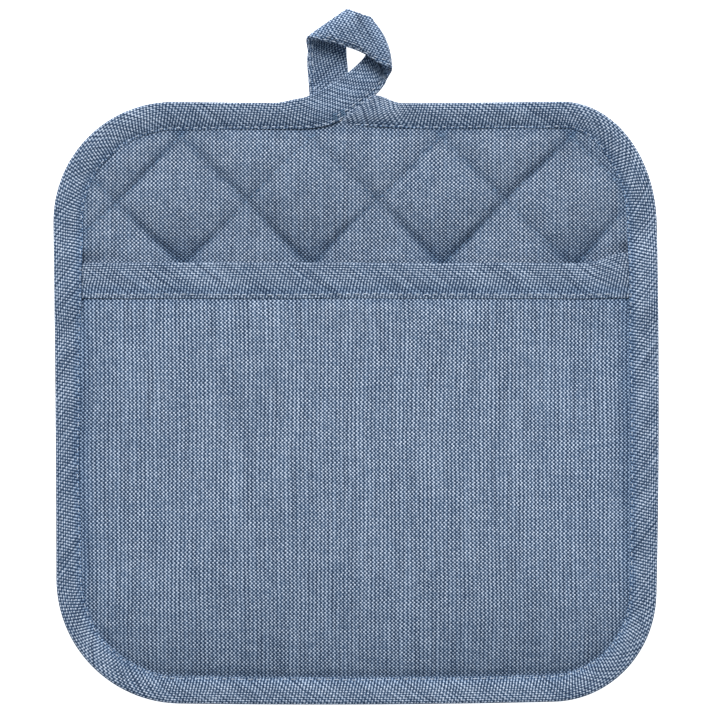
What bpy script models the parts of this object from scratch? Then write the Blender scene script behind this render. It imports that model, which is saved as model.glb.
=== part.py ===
"""A pocket pot holder lying on its back: a square quilted pad with a hand pocket, bound all round with bias tape.

The frame has +Z up, off the surface that the pot holder lies on, and +Y towards the hanging loop. The origin is on
that surface, under the middle of the whole outline. Sizes below are in millimetres and meshes are made in metres.

One strip of folded tape binds the edge. It starts just right of the loop, runs clockwise round the pad, leaves the
edge left of the loop, turns over twice as a flat loop and ends under itself, caught behind the edge.
"""

import math
from collections import namedtuple

import bpy
import numpy as np
from mathutils.geometry import delaunay_2d_cdt

MM = 0.001
GAP = 0.3  # clear space between two pieces that are sewn together

# The outline of the bound edge, clockwise from the top: each corner is a quarter ellipse.
Corner = namedtuple("Corner", "name x y across up first_angle side_bow")
CORNERS = (
    Corner("top right", 69.1, 43.9, 31.9, 41.9, 90, 0.7),
    Corner("bottom right", 65.7, -78.8, 35.2, 36.9, 0, 0.6),
    Corner("bottom left", -58.7, -74.4, 41.9, 41.9, -90, -0.2),
    Corner("top left", -61.4, 45.6, 40.2, 40.1, 180, -0.5),
)
CORNER_STEPS = 24
SIDE_STEPS = 60

# How wide the edge binding's face is, by the distance along the edge from the middle of the top side.
FaceWidth = namedtuple("FaceWidth", "along width")
FACE_WIDTHS = (
    FaceWidth(0, 8.7),
    FaceWidth(70, 8.9),
    FaceWidth(100, 10.2),
    FaceWidth(165, 10.3),
    FaceWidth(235, 9.3),
    FaceWidth(280, 9.9),
    FaceWidth(365, 9.1),
    FaceWidth(465, 8.7),
    FaceWidth(525, 8.0),
    FaceWidth(565, 8.3),
    FaceWidth(605, 9.9),
    FaceWidth(650, 10.2),
    FaceWidth(700, 9.1),
    FaceWidth(740, 8.7),
)

# Levels above the surface, in the sandwich that the edge binding grips.
TAPE = 1.0  # the binding tape's two layers, pressed
BACK_LEG_BASE = 0.0
FRONT_LEG_TOP = 6.1
RIM_BASE = BACK_LEG_BASE + TAPE + GAP
RIM_TOP_BARE = FRONT_LEG_TOP - TAPE - GAP
RIM_TOP_UNDER_POCKET = 3.3
RIM_TOP_UNDER_MOUTH = 2.5
PAD_EDGE_INSET = 2.4
PAD_RIM_INSET = 3.7
PAD_EDGE_HALF = 0.6
PAD_START = 1.2  # how far inside the edge binding the pad begins to loft

# Quilting: seams at 45 degrees both ways, crossing at SEAM_CROSSING and every SEAM_DIAMOND across and up.
SEAM_DIAMOND = 43.6
SEAM_CROSSING = (6.7, 52.0)
SEAM_TOP = 3.9
SEAM_BASE = 1.6
TUFT_TOP = 6.2
TUFT_REACH = 9.0
CELLS_PER_HALF_DIAMOND = 4
RIM_RISE_BARE = 3.0
RIM_RISE_UNDER_POCKET = 5.0

# The pocket: a panel that stands off the pad, with a bound mouth.
MOUTH_TOP = 31.5
MOUTH_FOOT = 20.3
PANEL_TOP_EDGE = 29.8
PANEL_INSET = 3.3
PANEL_RIM_MIDDLE = 4.2
PANEL_RIM_THICK = 1.2
PANEL_MIDDLE = 12.4
PANEL_THICK = 1.6
PANEL_RISE = 6.5
PANEL_START = 1.1  # how far inside the edge binding the panel begins to rise
MOUTH_RIM_MIDDLE = 4.1
MOUTH_RIM_THICK = 0.8
MOUTH_MIDDLE = 13.0
MOUTH_THICK = 1.0
MOUTH_TAPE_RIM = 0.6
MOUTH_TAPE = 1.0
MOUTH_LIFT = 0.6  # how far the pocket's bound corners push the edge binding up
PANEL_CELL = 9.0

# Round the loop's root the back of the edge is lifted over the loop's tail.
ROOT_LEFT, ROOT_RIGHT = -18.0, 1.0
ROOT_FADE = 20.0
ROOT_LIFT = 1.95
ROOT_NOTCH = 3.6  # how much further in the pad's edge lies there
ROOT_SQUEEZE = 0.25

# Where the edge binding starts and ends: its fold edge and its open edge.
RING_START = ((7.0, 87.4), (-6.5, 77.5))
RING_END = ((-17.9, 86.9), (-17.2, 76.6))
START_HUMP_END = 15.0
END_HUMP_START = -27.0
RING_STATIONS = 96
RING_END_STEPS = (0.0, 1.5, 3.0, 5.0, 7.5, 10.5, 14.0, 18.0, 22.5)
RING_SKEW_LENGTH = 16.0

# The loop: rulings across the strap, from its folded edge (fold) to its stitched edge (open). fold_gap and open_gap
# are half the clear space between the tape's two legs at each edge. A bend row stands for a half turn of the strap
# about that line: radius is the turn's, side is +1 where the strap turns up and over and -1 where it turns under,
# lead is how far it slides along the line, towards its open edge, in each quarter of the turn, and bulge is how far
# its middle swells out of the turn.
Ruling = namedtuple("Ruling", "fold_x fold_y open_x open_y level fold_gap open_gap thick")
Bend = namedtuple("Bend", "fold_x fold_y open_x open_y level radius side lead bulge")
LOOP_TAPE = 1.0
LOOP_SLIT = 0.15
TAIL_TAPE = 0.68
LOOP_ROWS = (
    Ruling(-17.5, 87.0, -16.8, 76.6, 4.0, 1.00, 1.02, LOOP_TAPE),
    Ruling(-14.4, 88.3, -12.9, 77.0, 4.0, 0.90, 1.02, LOOP_TAPE),
    Ruling(-11.1, 90.0, -8.7, 77.9, 4.0, 0.55, 1.02, LOOP_TAPE),
    Ruling(-7.4, 92.2, -4.5, 79.7, 4.0, 0.30, 1.02, LOOP_TAPE),
    Ruling(-4.7, 93.9, -1.0, 82.2, 4.0, 0.18, 1.02, LOOP_TAPE),
    Ruling(-2.3, 95.7, 2.5, 84.9, 3.95, LOOP_SLIT, 0.95, LOOP_TAPE),
    Ruling(-0.1, 97.9, 5.9, 87.2, 3.85, LOOP_SLIT, 0.55, LOOP_TAPE),
    Ruling(1.8, 100.2, 8.2, 89.5, 3.70, LOOP_SLIT, 0.25, LOOP_TAPE),
    Ruling(3.1, 103.2, 9.6, 91.4, 3.50, LOOP_SLIT, LOOP_SLIT, LOOP_TAPE),
    Ruling(3.7, 106.8, 10.2, 92.5, 3.35, LOOP_SLIT, LOOP_SLIT, LOOP_TAPE),
    Bend(4.8, 113.3, 11.4, 96.3, 5.3, 2.0, 1, -2.6, 0.6),
    Ruling(1.6, 115.2, 4.2, 100.9, 7.2, LOOP_SLIT, LOOP_SLIT, LOOP_TAPE),
    Ruling(1.2, 115.3, -0.2, 102.9, 6.9, LOOP_SLIT, LOOP_SLIT, LOOP_TAPE),
    Ruling(0.8, 115.4, -4.6, 104.3, 6.5, LOOP_SLIT, LOOP_SLIT, LOOP_TAPE),
    Ruling(0.4, 115.5, -9.0, 105.5, 6.0, LOOP_SLIT, LOOP_SLIT, LOOP_TAPE),
    Bend(-2.0, 116.1, -15.2, 106.7, 4.2, 1.45, -1, 1.3, 0.0),
    Ruling(-2.9, 109.8, -16.2, 102.8, 2.75, LOOP_SLIT, LOOP_SLIT, LOOP_TAPE),
    Ruling(-3.3, 105.2, -16.5, 100.0, 2.35, LOOP_SLIT, LOOP_SLIT, LOOP_TAPE),
    Ruling(-3.1, 100.4, -16.4, 97.0, 1.85, LOOP_SLIT, LOOP_SLIT, LOOP_TAPE),
    Ruling(-2.6, 95.8, -16.1, 93.4, 1.40, LOOP_SLIT, LOOP_SLIT, 0.84),
    Ruling(-2.7, 91.4, -15.8, 89.8, 1.05, LOOP_SLIT, LOOP_SLIT, 0.78),
    Ruling(-2.9, 87.4, -15.6, 86.6, 0.90, LOOP_SLIT, LOOP_SLIT, 0.72),
    Ruling(-3.0, 83.9, -15.6, 83.7, 0.83, LOOP_SLIT, LOOP_SLIT, TAIL_TAPE),
    Ruling(-3.2, 80.6, -15.6, 80.6, 0.83, LOOP_SLIT, LOOP_SLIT, TAIL_TAPE),
)
BEND_TURNS = (-90, -60, -30, 0, 30, 60, 90)

FOLD_ANGLES = (90, 60, 30, 0, -30, -60, -90)
RING_FOLD_DEPTH = 2.6
FACE_CROWN = 0.12


def smooth(value):
    """0 below 0, 1 above 1, and an even S between."""
    t = np.clip(value, 0.0, 1.0)
    return t * t * (3 - 2 * t)


def rise(distance, length):
    """0 at the start, and 1 well past length: steep at first, then levelling off."""
    return 1 - np.exp(-np.maximum(distance, 0.0) / length)


def side_points(start, end, bow, steps):
    """Points from start towards end, bowed out by bow in the middle; the outside is on the left."""
    start, end = np.array(start, float), np.array(end, float)
    t = np.arange(steps)[:, None] / steps
    way = (end - start) / np.linalg.norm(end - start)
    out = np.array([-way[1], way[0]])
    return start + (end - start) * t + out * (4 * bow * t * (1 - t))


def corner_points(corner, steps):
    """A quarter ellipse, clockwise from the corner's first angle."""
    angles = np.radians(corner.first_angle - 90 * np.arange(steps) / steps)
    return np.column_stack((corner.x + corner.across * np.cos(angles), corner.y + corner.up * np.sin(angles)))


def corner_end(corner, turned):
    angle = math.radians(corner.first_angle - turned)
    return (corner.x + corner.across * math.cos(angle), corner.y + corner.up * math.sin(angle))


def make_outline():
    """The closed outline, clockwise from the middle of the top side, and the distance along it."""
    points = []
    for corner, following in zip(CORNERS, CORNERS[1:] + CORNERS[:1]):
        points.append(corner_points(corner, CORNER_STEPS))
        points.append(side_points(corner_end(corner, 90), corner_end(following, 0), corner.side_bow, SIDE_STEPS))
    points = np.vstack(points)
    points = np.roll(points, SIDE_STEPS // 2, axis=0)  # the last side is the top one
    steps = np.linalg.norm(np.roll(points, -1, axis=0) - points, axis=1)
    return points, np.concatenate(([0.0], np.cumsum(steps)[:-1])), steps.sum()


OUTLINE, ALONG, GIRTH = make_outline()


def at_outline(along):
    """Points of the outline, and the directions into the pad there, at distances along it."""
    wrapped = np.mod(along, GIRTH)
    knots = np.append(ALONG, GIRTH)

    def place(distance):
        return np.column_stack(
            [np.interp(np.mod(distance, GIRTH), knots, np.append(OUTLINE[:, k], OUTLINE[0, k])) for k in (0, 1)]
        )

    reach = 1.5
    way = place(wrapped + reach) - place(wrapped - reach)
    way /= np.linalg.norm(way, axis=1)[:, None]
    return place(wrapped), np.column_stack((way[:, 1], -way[:, 0]))


def face_width(along):
    return np.interp(np.mod(along, GIRTH), [row.along for row in FACE_WIDTHS], [row.width for row in FACE_WIDTHS])


def from_edge(points):
    """How far inside the outline each point is, and the distance along the outline of the nearest place on it."""
    away = np.linalg.norm(points[:, None, :] - OUTLINE[None, :, :], axis=2)
    nearest = away.argmin(axis=1)
    return away[np.arange(len(points)), nearest], ALONG[nearest]


def root_lift(x, y):
    """How far the back of the edge is lifted over the loop's tail."""
    across = smooth((x - ROOT_LEFT + ROOT_FADE) / ROOT_FADE) * smooth((ROOT_RIGHT + ROOT_FADE - x) / ROOT_FADE)
    return across * (y > 0)


def mouth_share(y, core, fade):
    """1 where the pocket's bound mouth passes under the edge binding, and 0 beyond."""
    middle = (MOUTH_TOP + MOUTH_FOOT) / 2
    half = (MOUTH_TOP - MOUTH_FOOT) / 2
    return 1 - smooth((np.abs(y - middle) - half - core) / fade)


def rim_top(x, y):
    """The pad's upper level where the edge binding grips it."""
    under_pocket = 1 - smooth((y - MOUTH_TOP - 0.8) / 4)
    level = RIM_TOP_BARE + (RIM_TOP_UNDER_POCKET - RIM_TOP_BARE) * under_pocket
    mouth = mouth_share(y, 0.8, 4)
    level = level + (RIM_TOP_UNDER_MOUTH - level) * mouth
    return level - ROOT_SQUEEZE * root_lift(x, y)


def rim_base(x, y):
    """The pad's lower level where the edge binding grips it."""
    return RIM_BASE + (ROOT_LIFT + ROOT_SQUEEZE - 0.1) * root_lift(x, y)


def tuft(points):
    """0 on a quilting seam and 1 in the middle of a diamond, rounded like a small cushion."""
    x, y = points[:, 0] - SEAM_CROSSING[0], points[:, 1] - SEAM_CROSSING[1]
    share = np.ones(len(points))
    for across in ((x + y) / math.sqrt(2), (x - y) / math.sqrt(2)):
        pitch = SEAM_DIAMOND / math.sqrt(2)
        from_seam = np.abs(across - pitch * np.round(across / pitch))
        share *= np.sqrt(1 - (1 - np.clip(from_seam / TUFT_REACH, 0, 1)) ** 2)
    return share


def pad_levels(points):
    """The quilted pad's upper and lower levels."""
    inset, along = from_edge(points)
    x, y = points[:, 0], points[:, 1]
    inside = inset - face_width(along) - PAD_START
    under_pocket = 1 - smooth((y - MOUTH_TOP + 4) / 4)
    length = RIM_RISE_BARE + (RIM_RISE_UNDER_POCKET - RIM_RISE_BARE) * under_pocket
    share = rise(inside - under_pocket, length)
    lofted = tuft(points)
    upper = rim_top(x, y) + (SEAM_TOP + (TUFT_TOP - SEAM_TOP) * lofted - rim_top(x, y)) * share
    lower = rim_base(x, y) + (SEAM_BASE * (1 - lofted) - rim_base(x, y)) * rise(inside, RIM_RISE_BARE)
    lower = np.where(inside > 0, np.maximum(lower - 0.12 * smooth(inside / 4), 0.0), lower)
    edge = inset < (PAD_EDGE_INSET + PAD_RIM_INSET) / 2 + ROOT_NOTCH * root_lift(x, y)
    middle = (rim_top(x, y) + rim_base(x, y)) / 2
    half = np.minimum(PAD_EDGE_HALF, (rim_top(x, y) - rim_base(x, y)) / 2 - 0.1)
    return np.where(edge, middle + half, upper), np.where(edge, middle - half, lower)


def panel_middle(points):
    """The middle level of the pocket panel: low under the edge binding, then standing off the pad."""
    y = points[:, 1]
    inset, along = from_edge(np.column_stack((points[:, 0], np.minimum(y, MOUTH_FOOT))))
    share = rise(inset - face_width(along) - PANEL_START, PANEL_RISE)
    mouth = np.where(y < MOUTH_TOP, mouth_share(y, 2.0, 6), 1.0)
    low = PANEL_RIM_MIDDLE + (MOUTH_RIM_MIDDLE - PANEL_RIM_MIDDLE) * mouth
    high = PANEL_MIDDLE + (MOUTH_MIDDLE - PANEL_MIDDLE) * smooth((y - MOUTH_FOOT + 14) / 14)
    return low + (high - low) * share, share


def panel_thickness(points, share):
    """The pocket panel's thickness: pressed under the bindings, full in the open."""
    mouth = 1 - smooth((MOUTH_FOOT - 0.5 - points[:, 1]) / 3.5)
    open_cloth = PANEL_RIM_THICK + (PANEL_THICK - PANEL_RIM_THICK) * share
    bound = MOUTH_RIM_THICK + (MOUTH_THICK - MOUTH_RIM_THICK) * share
    return open_cloth + (bound - open_cloth) * mouth


def panel_levels(points):
    middle, share = panel_middle(points)
    half = panel_thickness(points, share) / 2
    return middle + half, middle - half


def add_object(name, points, faces, material, parent):
    """One mesh object, from points in millimetres."""
    mesh = bpy.data.meshes.new(name)
    mesh.from_pydata((np.asarray(points) * MM).tolist(), [], faces)
    mesh.validate()
    mesh.shade_smooth()
    mesh.set_sharp_from_angle(angle=math.radians(50))
    piece = bpy.data.objects.new(name, mesh)
    piece.data.materials.append(material)
    piece.parent = parent
    bpy.context.scene.collection.objects.link(piece)
    return piece


def inside_ring(points, ring):
    """True for each point inside the closed ring, by the number of sides that a line to its right crosses."""
    a, b = ring, np.roll(ring, -1, axis=0)
    y = points[:, 1][:, None]
    crosses = (a[:, 1] > y) != (b[:, 1] > y)
    where = a[:, 0] + (y - a[:, 1]) * (b[:, 0] - a[:, 0]) / np.where(b[:, 1] == a[:, 1], 1, b[:, 1] - a[:, 1])
    return (crosses & (where > points[:, 0][:, None])).sum(axis=1) % 2 == 1


def cloth_slab(name, loops, inside, seams, levels, material, parent):
    """A closed sheet over a flat layout: loops are closed rings from the edge inwards, inside is loose points, and
    seams are pairs of places in inside that a fold line joins. levels gives the upper and lower level of each."""
    flat, edges = [], []
    for loop in loops:
        first = sum(len(part) for part in flat)
        flat.append(loop)
        edges += [(first + i, first + (i + 1) % len(loop)) for i in range(len(loop))]
    first = sum(len(part) for part in flat)
    flat.append(inside)
    edges += [(first + a, first + b) for a, b in seams]
    layout = delaunay_2d_cdt([tuple(p) for p in np.vstack(flat)], edges, [], 1, 1e-5, False)
    places = np.array([tuple(p) for p in layout[0]])
    middles = places[np.array(layout[2])].mean(axis=1)
    triangles = [tuple(face) for face, kept in zip(layout[2], inside_ring(middles, loops[0])) if kept]
    upper, lower = levels(places)
    count = len(places)
    points = np.vstack((np.column_stack((places, upper)), np.column_stack((places, lower))))
    used = {}
    for a, b, c in triangles:
        for pair in ((a, b), (b, c), (c, a)):
            used[pair] = True
    walls = [(b, a, a + count, b + count) for a, b in used if (b, a) not in used]
    floor = [(c + count, b + count, a + count) for a, b, c in triangles]
    return add_object(name, points, triangles + floor + walls, material, parent)


def inset_loop(stations, inset):
    """A ring of points at each station of the outline, moved in by inset."""
    place, inward = at_outline(stations)
    return place + inward * np.asarray(inset).reshape(-1, 1)


def make_pad(material, parent):
    """The quilted pad: a filled slab, drawn down at its sewn diamonds and thin where the binding grips it."""
    stations = GIRTH * np.arange(120) / 120
    place, _ = at_outline(stations)
    notch = ROOT_NOTCH * root_lift(place[:, 0], place[:, 1])
    edge = inset_loop(stations, PAD_EDGE_INSET + notch)
    rim = inset_loop(stations, PAD_RIM_INSET + notch)
    grip = inset_loop(stations, face_width(stations) + PAD_START)
    cell = SEAM_DIAMOND / 2 / CELLS_PER_HALF_DIAMOND
    reach = range(-26, 22)
    grid = {
        (i, j): (SEAM_CROSSING[0] + i * cell, SEAM_CROSSING[1] + j * cell)
        for i in reach
        for j in range(-34, 12)
    }
    keys = list(grid)
    places = np.array([grid[key] for key in keys])
    inset, along = from_edge(places)
    within = (inset > face_width(along) + 3.4) & (np.abs(places[:, 0]) < 98) & (places[:, 1] > -112) & (places[:, 1] < 82)
    within &= inside_ring(places, OUTLINE)
    keys = [key for key, keep in zip(keys, within) if keep]
    index = {key: n for n, key in enumerate(keys)}
    seams = []
    for i, j in keys:
        for di, dj in ((1, 1), (1, -1)):
            on_seam = (i - di * dj * j) % (2 * CELLS_PER_HALF_DIAMOND) == 0
            if on_seam and (i + di, j + dj) in index:
                seams.append((index[i, j], index[i + di, j + dj]))
    return cloth_slab("quilted_pad", [edge, rim, grip], places[within], seams, pad_levels, material, parent)


def mouth_columns():
    """Where the pocket's mouth is divided, across: closest where the panel climbs off the pad."""
    ring = inset_loop(GIRTH * np.arange(720) / 720, PANEL_INSET)
    at_mouth = ring[np.abs(ring[:, 1] - MOUTH_FOOT) < 1.0]
    left, right = at_mouth[:, 0].min(), at_mouth[:, 0].max()
    near = np.array([0.0, 3.0, 6.2, 7.6, 9.0, 10.5, 12.5, 15.0, 18.5, 23.0, 29.0])
    return np.concatenate((left + near, np.linspace(left + 38, right - 38, 13), right - near[::-1]))


def make_panel(material, parent):
    """The pocket panel: caught at both sides and the bottom, open along its top edge."""
    stations = GIRTH * np.arange(144) / 144
    ring = inset_loop(stations, PANEL_INSET)
    columns = mouth_columns()
    top = np.column_stack((columns, np.full(len(columns), PANEL_TOP_EDGE)))
    foot = np.column_stack((columns, np.full(len(columns), MOUTH_FOOT - 0.5)))
    outer = np.vstack((ring[ring[:, 1] < MOUTH_FOOT - 3], foot[:1], top, foot[-1:]))
    lines = [inset_loop(stations, face_width(stations) + extra) for extra in (PANEL_START, 3.4, 6.8, 12.0)]
    lines = [line[line[:, 1] < MOUTH_FOOT - 4] for line in lines]
    grid = np.array([(x, y) for x in np.arange(-8, 9) * PANEL_CELL for y in np.arange(-10, 0) * PANEL_CELL + 12.0])
    inset, along = from_edge(grid)
    grid = grid[inside_ring(grid, OUTLINE) & (inset > face_width(along) + 16)]
    inner = len(columns) - 2
    seams = [(i, inner + i) for i in range(inner)]
    loose = np.vstack([foot[1:-1], top[1:-1]] + lines + [grid])
    return cloth_slab("pocket_panel", [outer], loose, seams, panel_levels, material, parent)


def tape_profile(width, fold_gap, open_gap, thick, fold_depth, crown, bulge=0.0):
    """The folded tape's section, as (across from the fold, off the middle) for its outer and inner faces, from the
    front leg's open edge round the fold to the back leg's open edge. bulge shifts the middle of both legs."""
    angles = np.radians(FOLD_ANGLES)
    inner_depth = max(fold_depth - thick, 0.1)
    outer = np.column_stack((fold_depth * (1 - np.cos(angles)), (fold_gap + thick) * np.sin(angles)))
    inner = np.column_stack((thick + inner_depth * (1 - np.cos(angles)), fold_gap * np.sin(angles)))
    half_way = fold_depth + 0.5 * (width - fold_depth)
    gap_there = (fold_gap + open_gap) / 2
    front = [(width, open_gap + thick), (half_way, bulge + gap_there + thick + crown)]
    back = [(half_way, bulge - gap_there - thick), (width, -open_gap - thick)]
    inner_front = [(width, open_gap), (half_way, bulge + gap_there)]
    inner_back = [(half_way, bulge - gap_there), (width, -open_gap)]
    return np.vstack((front, outer, back)), np.vstack((inner_front, inner, inner_back))


def sweep_tape(name, stations, material, parent, upright=False):
    """A closed solid through the tape's section at each station: (fold point, open point, profile). The front face
    looks along the open-edge direction crossed with the way the tape runs, or straight up if upright."""
    folds = np.array([s[0] for s in stations], float)
    opens = np.array([s[1] for s in stations], float)
    middles = (folds + opens) / 2
    way = np.gradient(middles, axis=0)
    rings = []
    for fold, open_point, direction, (_, _, (outer, inner)) in zip(folds, opens, way, stations):
        across = (open_point - fold) / np.linalg.norm(open_point - fold)
        off = np.cross(across, direction)
        off = np.array([0.0, 0.0, 1.0]) if upright else off / np.linalg.norm(off)
        section = np.vstack((outer, inner[::-1]))
        rings.append(fold + section[:, :1] * across + section[:, 1:] * off)
    count = len(rings[0])
    half = count // 2
    faces = []
    for ring in range(len(rings) - 1):
        here, there = ring * count, (ring + 1) * count
        faces += [(here + (i + 1) % count, here + i, there + i, there + (i + 1) % count) for i in range(count)]
    last = (len(rings) - 1) * count
    for i in range(half - 1):
        faces.append((i, i + 1, count - 2 - i, count - 1 - i))
        faces.append((last + i + 1, last + i, last + count - 1 - i, last + count - 2 - i))
    return add_object(name, np.vstack(rings), faces, material, parent)


def ring_levels(x, y):
    """The middle level of the edge binding's section, and half the clear space between its legs."""
    base = BACK_LEG_BASE + ROOT_LIFT * root_lift(x, y)
    top = FRONT_LEG_TOP + MOUTH_LIFT * mouth_share(y, 3.0, 8)
    return (base + top) / 2, (top - base) / 2 - TAPE


def make_edge_binding(material, parent):
    """The bias tape round the edge, from right of the loop clockwise to left of it."""
    first = float(np.interp(RING_START[0][0], [OUTLINE[0, 0], CORNERS[0].x], [0, CORNERS[0].x - OUTLINE[0, 0]]))
    last = GIRTH - (OUTLINE[0, 0] - RING_END[0][0])
    steps = np.array(RING_END_STEPS)
    between = np.linspace(first + steps[-1], last - steps[-1], RING_STATIONS)
    along = np.concatenate((first + steps, between[1:-1], last - steps[::-1]))
    place, inward = at_outline(along)
    folds = place.copy()
    near_start = smooth((START_HUMP_END - folds[:, 0]) / (START_HUMP_END - RING_START[0][0])) * (along < 40)
    near_end = smooth((folds[:, 0] - END_HUMP_START) / (RING_END[0][0] - END_HUMP_START)) * (along > GIRTH - 60)
    folds[:, 1] += near_start * (RING_START[0][1] - place[0, 1]) + near_end * (RING_END[0][1] - place[-1, 1])
    opens = place + inward * face_width(along)[:, None]
    skew = 1 - smooth((along - first) / RING_SKEW_LENGTH)
    opens += skew[:, None] * (np.array(RING_START[1]) - opens[0])
    settle = smooth((along - last + RING_SKEW_LENGTH) / RING_SKEW_LENGTH)
    opens += settle[:, None] * (np.array(RING_END[1]) - opens[-1])
    stations = []
    for fold, open_point in zip(folds, opens):
        fold_level, fold_gap = ring_levels(*fold)
        open_level, open_gap = ring_levels(*open_point)
        width = float(np.linalg.norm(open_point - fold))
        profile = tape_profile(width, fold_gap, open_gap, TAPE, RING_FOLD_DEPTH, FACE_CROWN)
        stations.append(((*fold, fold_level), (*open_point, open_level), profile))
    return sweep_tape("edge_binding", stations, material, parent)


def make_pocket_binding(material, parent):
    """The bias tape folded over the pocket's top edge, its ends caught under the edge binding."""
    across = mouth_columns()
    points = np.column_stack((across, np.full(len(across), MOUTH_FOOT)))
    middle, share = panel_middle(points)
    thick = panel_thickness(points, share)
    slope = np.hypot(1, np.gradient(middle, across))
    stations = []
    for x, z, panel, part, steep in zip(across, middle, thick, share, slope):
        tape = MOUTH_TAPE_RIM + (MOUTH_TAPE - MOUTH_TAPE_RIM) * part
        clear = panel / 2 + GAP * min(steep, 2.0)
        profile = tape_profile(MOUTH_TOP - MOUTH_FOOT, clear, clear, tape, tape + 0.4, 0.0)
        stations.append(((x, MOUTH_TOP, z), (x, MOUTH_FOOT, z), profile))
    return sweep_tape("pocket_binding", stations, material, parent, upright=True)


def loop_rulings():
    """The rulings of the loop in order, each bend worked out as a half turn about its line, with the bulge there."""
    for row in LOOP_ROWS:
        fold, open_point = np.array([row.fold_x, row.fold_y]), np.array([row.open_x, row.open_y])
        if isinstance(row, Ruling):
            yield fold, open_point, row.level, row.fold_gap, row.open_gap, row.thick, 0.0
            continue
        along = (open_point - fold) / np.linalg.norm(open_point - fold)
        inward = np.array([along[1], -along[0]]) * row.side
        for turn in BEND_TURNS:
            angle = math.radians(turn)
            shift = inward * row.radius * (1 - math.cos(angle)) + along * row.lead * turn / 90
            level = row.level + row.side * row.radius * math.sin(angle)
            bulge = -row.bulge * math.cos(angle)
            yield fold + shift, open_point + shift, level, LOOP_SLIT, LOOP_SLIT, LOOP_TAPE, bulge


def make_loop(material, parent):
    """The hanging loop: the tape folded shut, turned over at two slanting folds, its tail under its root."""
    stations = []
    for fold, open_point, level, fold_gap, open_gap, thick, bulge in loop_rulings():
        width = float(np.linalg.norm(open_point - fold))
        depth = min(thick + fold_gap, RING_FOLD_DEPTH)
        profile = tape_profile(width, fold_gap, open_gap, thick, depth, 0.0, bulge)
        stations.append(((*fold, level), (*open_point, level), profile))
    return sweep_tape("hanging_loop", stations, material, parent)


def cloth_material(name, colour, roughness):
    material = bpy.data.materials.new(name)
    material.use_nodes = True
    shader = material.node_tree.nodes["Principled BSDF"]
    shader.inputs["Base Color"].default_value = (*colour, 1.0)
    shader.inputs["Roughness"].default_value = roughness
    shader.inputs["Metallic"].default_value = 0.0
    return material


def main():
    for thing in list(bpy.data.objects):
        bpy.data.objects.remove(thing)
    holder = bpy.data.objects.new("pot_holder", None)
    bpy.context.scene.collection.objects.link(holder)
    chambray = cloth_material("blue_chambray", (0.165, 0.223, 0.317), 0.9)
    pocket = cloth_material("pocket_chambray", (0.175, 0.232, 0.325), 0.9)
    bias = cloth_material("bias_tape", (0.160, 0.216, 0.310), 0.9)
    make_pad(chambray, holder)
    make_panel(pocket, holder)
    make_pocket_binding(bias, holder)
    make_edge_binding(bias, holder)
    make_loop(bias, holder)


if __name__ == "__main__":
    main()
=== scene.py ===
"""Dresses a pocket pot holder of blue chambray: quilted pad, pocket, bound mouth and edge, and hanging loop.

The frame has +Z up, off the surface that the pot holder lies on, and +Y towards the loop. Lengths in the
code are in millimetres and meshes are made in metres. Lengths in the settings are in metres, as Blender shows
them.
"""

import math
from collections import namedtuple

import bpy
import numpy as np
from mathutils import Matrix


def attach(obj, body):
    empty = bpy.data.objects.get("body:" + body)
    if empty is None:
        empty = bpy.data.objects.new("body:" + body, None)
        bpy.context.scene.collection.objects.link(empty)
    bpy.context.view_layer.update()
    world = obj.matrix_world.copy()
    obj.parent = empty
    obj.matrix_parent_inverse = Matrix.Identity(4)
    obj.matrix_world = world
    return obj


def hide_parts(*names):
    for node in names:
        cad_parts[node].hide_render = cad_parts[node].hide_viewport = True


bl_info = {
    "name": "Pocket pot holder",
    "version": (1, 0, 0),
    "blender": (4, 5, 0),
    "location": "View3D > Sidebar > Pot holder",
    "description": "Makes the quilted cloth, tapes, stitching and stage of a pocket pot holder",
    "category": "Object",
}

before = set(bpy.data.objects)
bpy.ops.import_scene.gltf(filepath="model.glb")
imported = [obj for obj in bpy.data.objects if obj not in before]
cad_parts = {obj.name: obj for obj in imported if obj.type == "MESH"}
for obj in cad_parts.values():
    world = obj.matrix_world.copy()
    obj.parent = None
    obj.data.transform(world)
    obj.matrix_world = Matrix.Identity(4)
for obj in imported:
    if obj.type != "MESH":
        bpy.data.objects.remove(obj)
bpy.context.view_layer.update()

MM = 0.001
UV_NAME = "weave"
# The attribute of painted shade: 0 on open cloth, 1 where creases, seams and bindings are painted darkest.
PAINTED_SHADE_NAME = "painted_shade"

# The photograph's frame, PHOTO_LEVEL above the surface, and the floor, just under the stitches of the back.
PHOTO_WIDTH = 239.1
PHOTO_CENTRE = (0.17, 0.17)
PHOTO_LEVEL = 5.0
FLOOR_HALF = 3000.0
FLOOR_LEVEL = -0.15

# ---- The outline, clockwise from the middle of the top side

# The corners, from the top right one: the middle, half width and half height of each one's quarter ellipse,
# the angle that it starts at, and how far the side after it bows out.
Corner = namedtuple("Corner", "x y across up first_angle side_bow")
CORNERS = (
    Corner(69.1, 43.9, 31.9, 41.9, 90, 0.7),
    Corner(65.7, -78.8, 35.2, 36.9, 0, 0.6),
    Corner(-58.7, -74.4, 41.9, 41.9, -90, -0.2),
    Corner(-61.4, 45.6, 40.2, 40.1, 180, -0.5),
)
CORNER_STEPS = 60
SIDE_STEPS = 120

# How wide the edge binding's face is: the distance along the outline, and the width there.
FACE_WIDTHS = np.array((
    (0, 8.7), (70, 8.9), (100, 10.0), (165, 10.0), (235, 9.3), (280, 9.5), (320, 9.0), (440, 9.2),
    (485, 9.0), (525, 8.0), (565, 8.5), (605, 9.9), (650, 10.0), (700, 9.0), (740, 8.7),
))

# ---- Levels and places, mostly as in the solids

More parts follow.
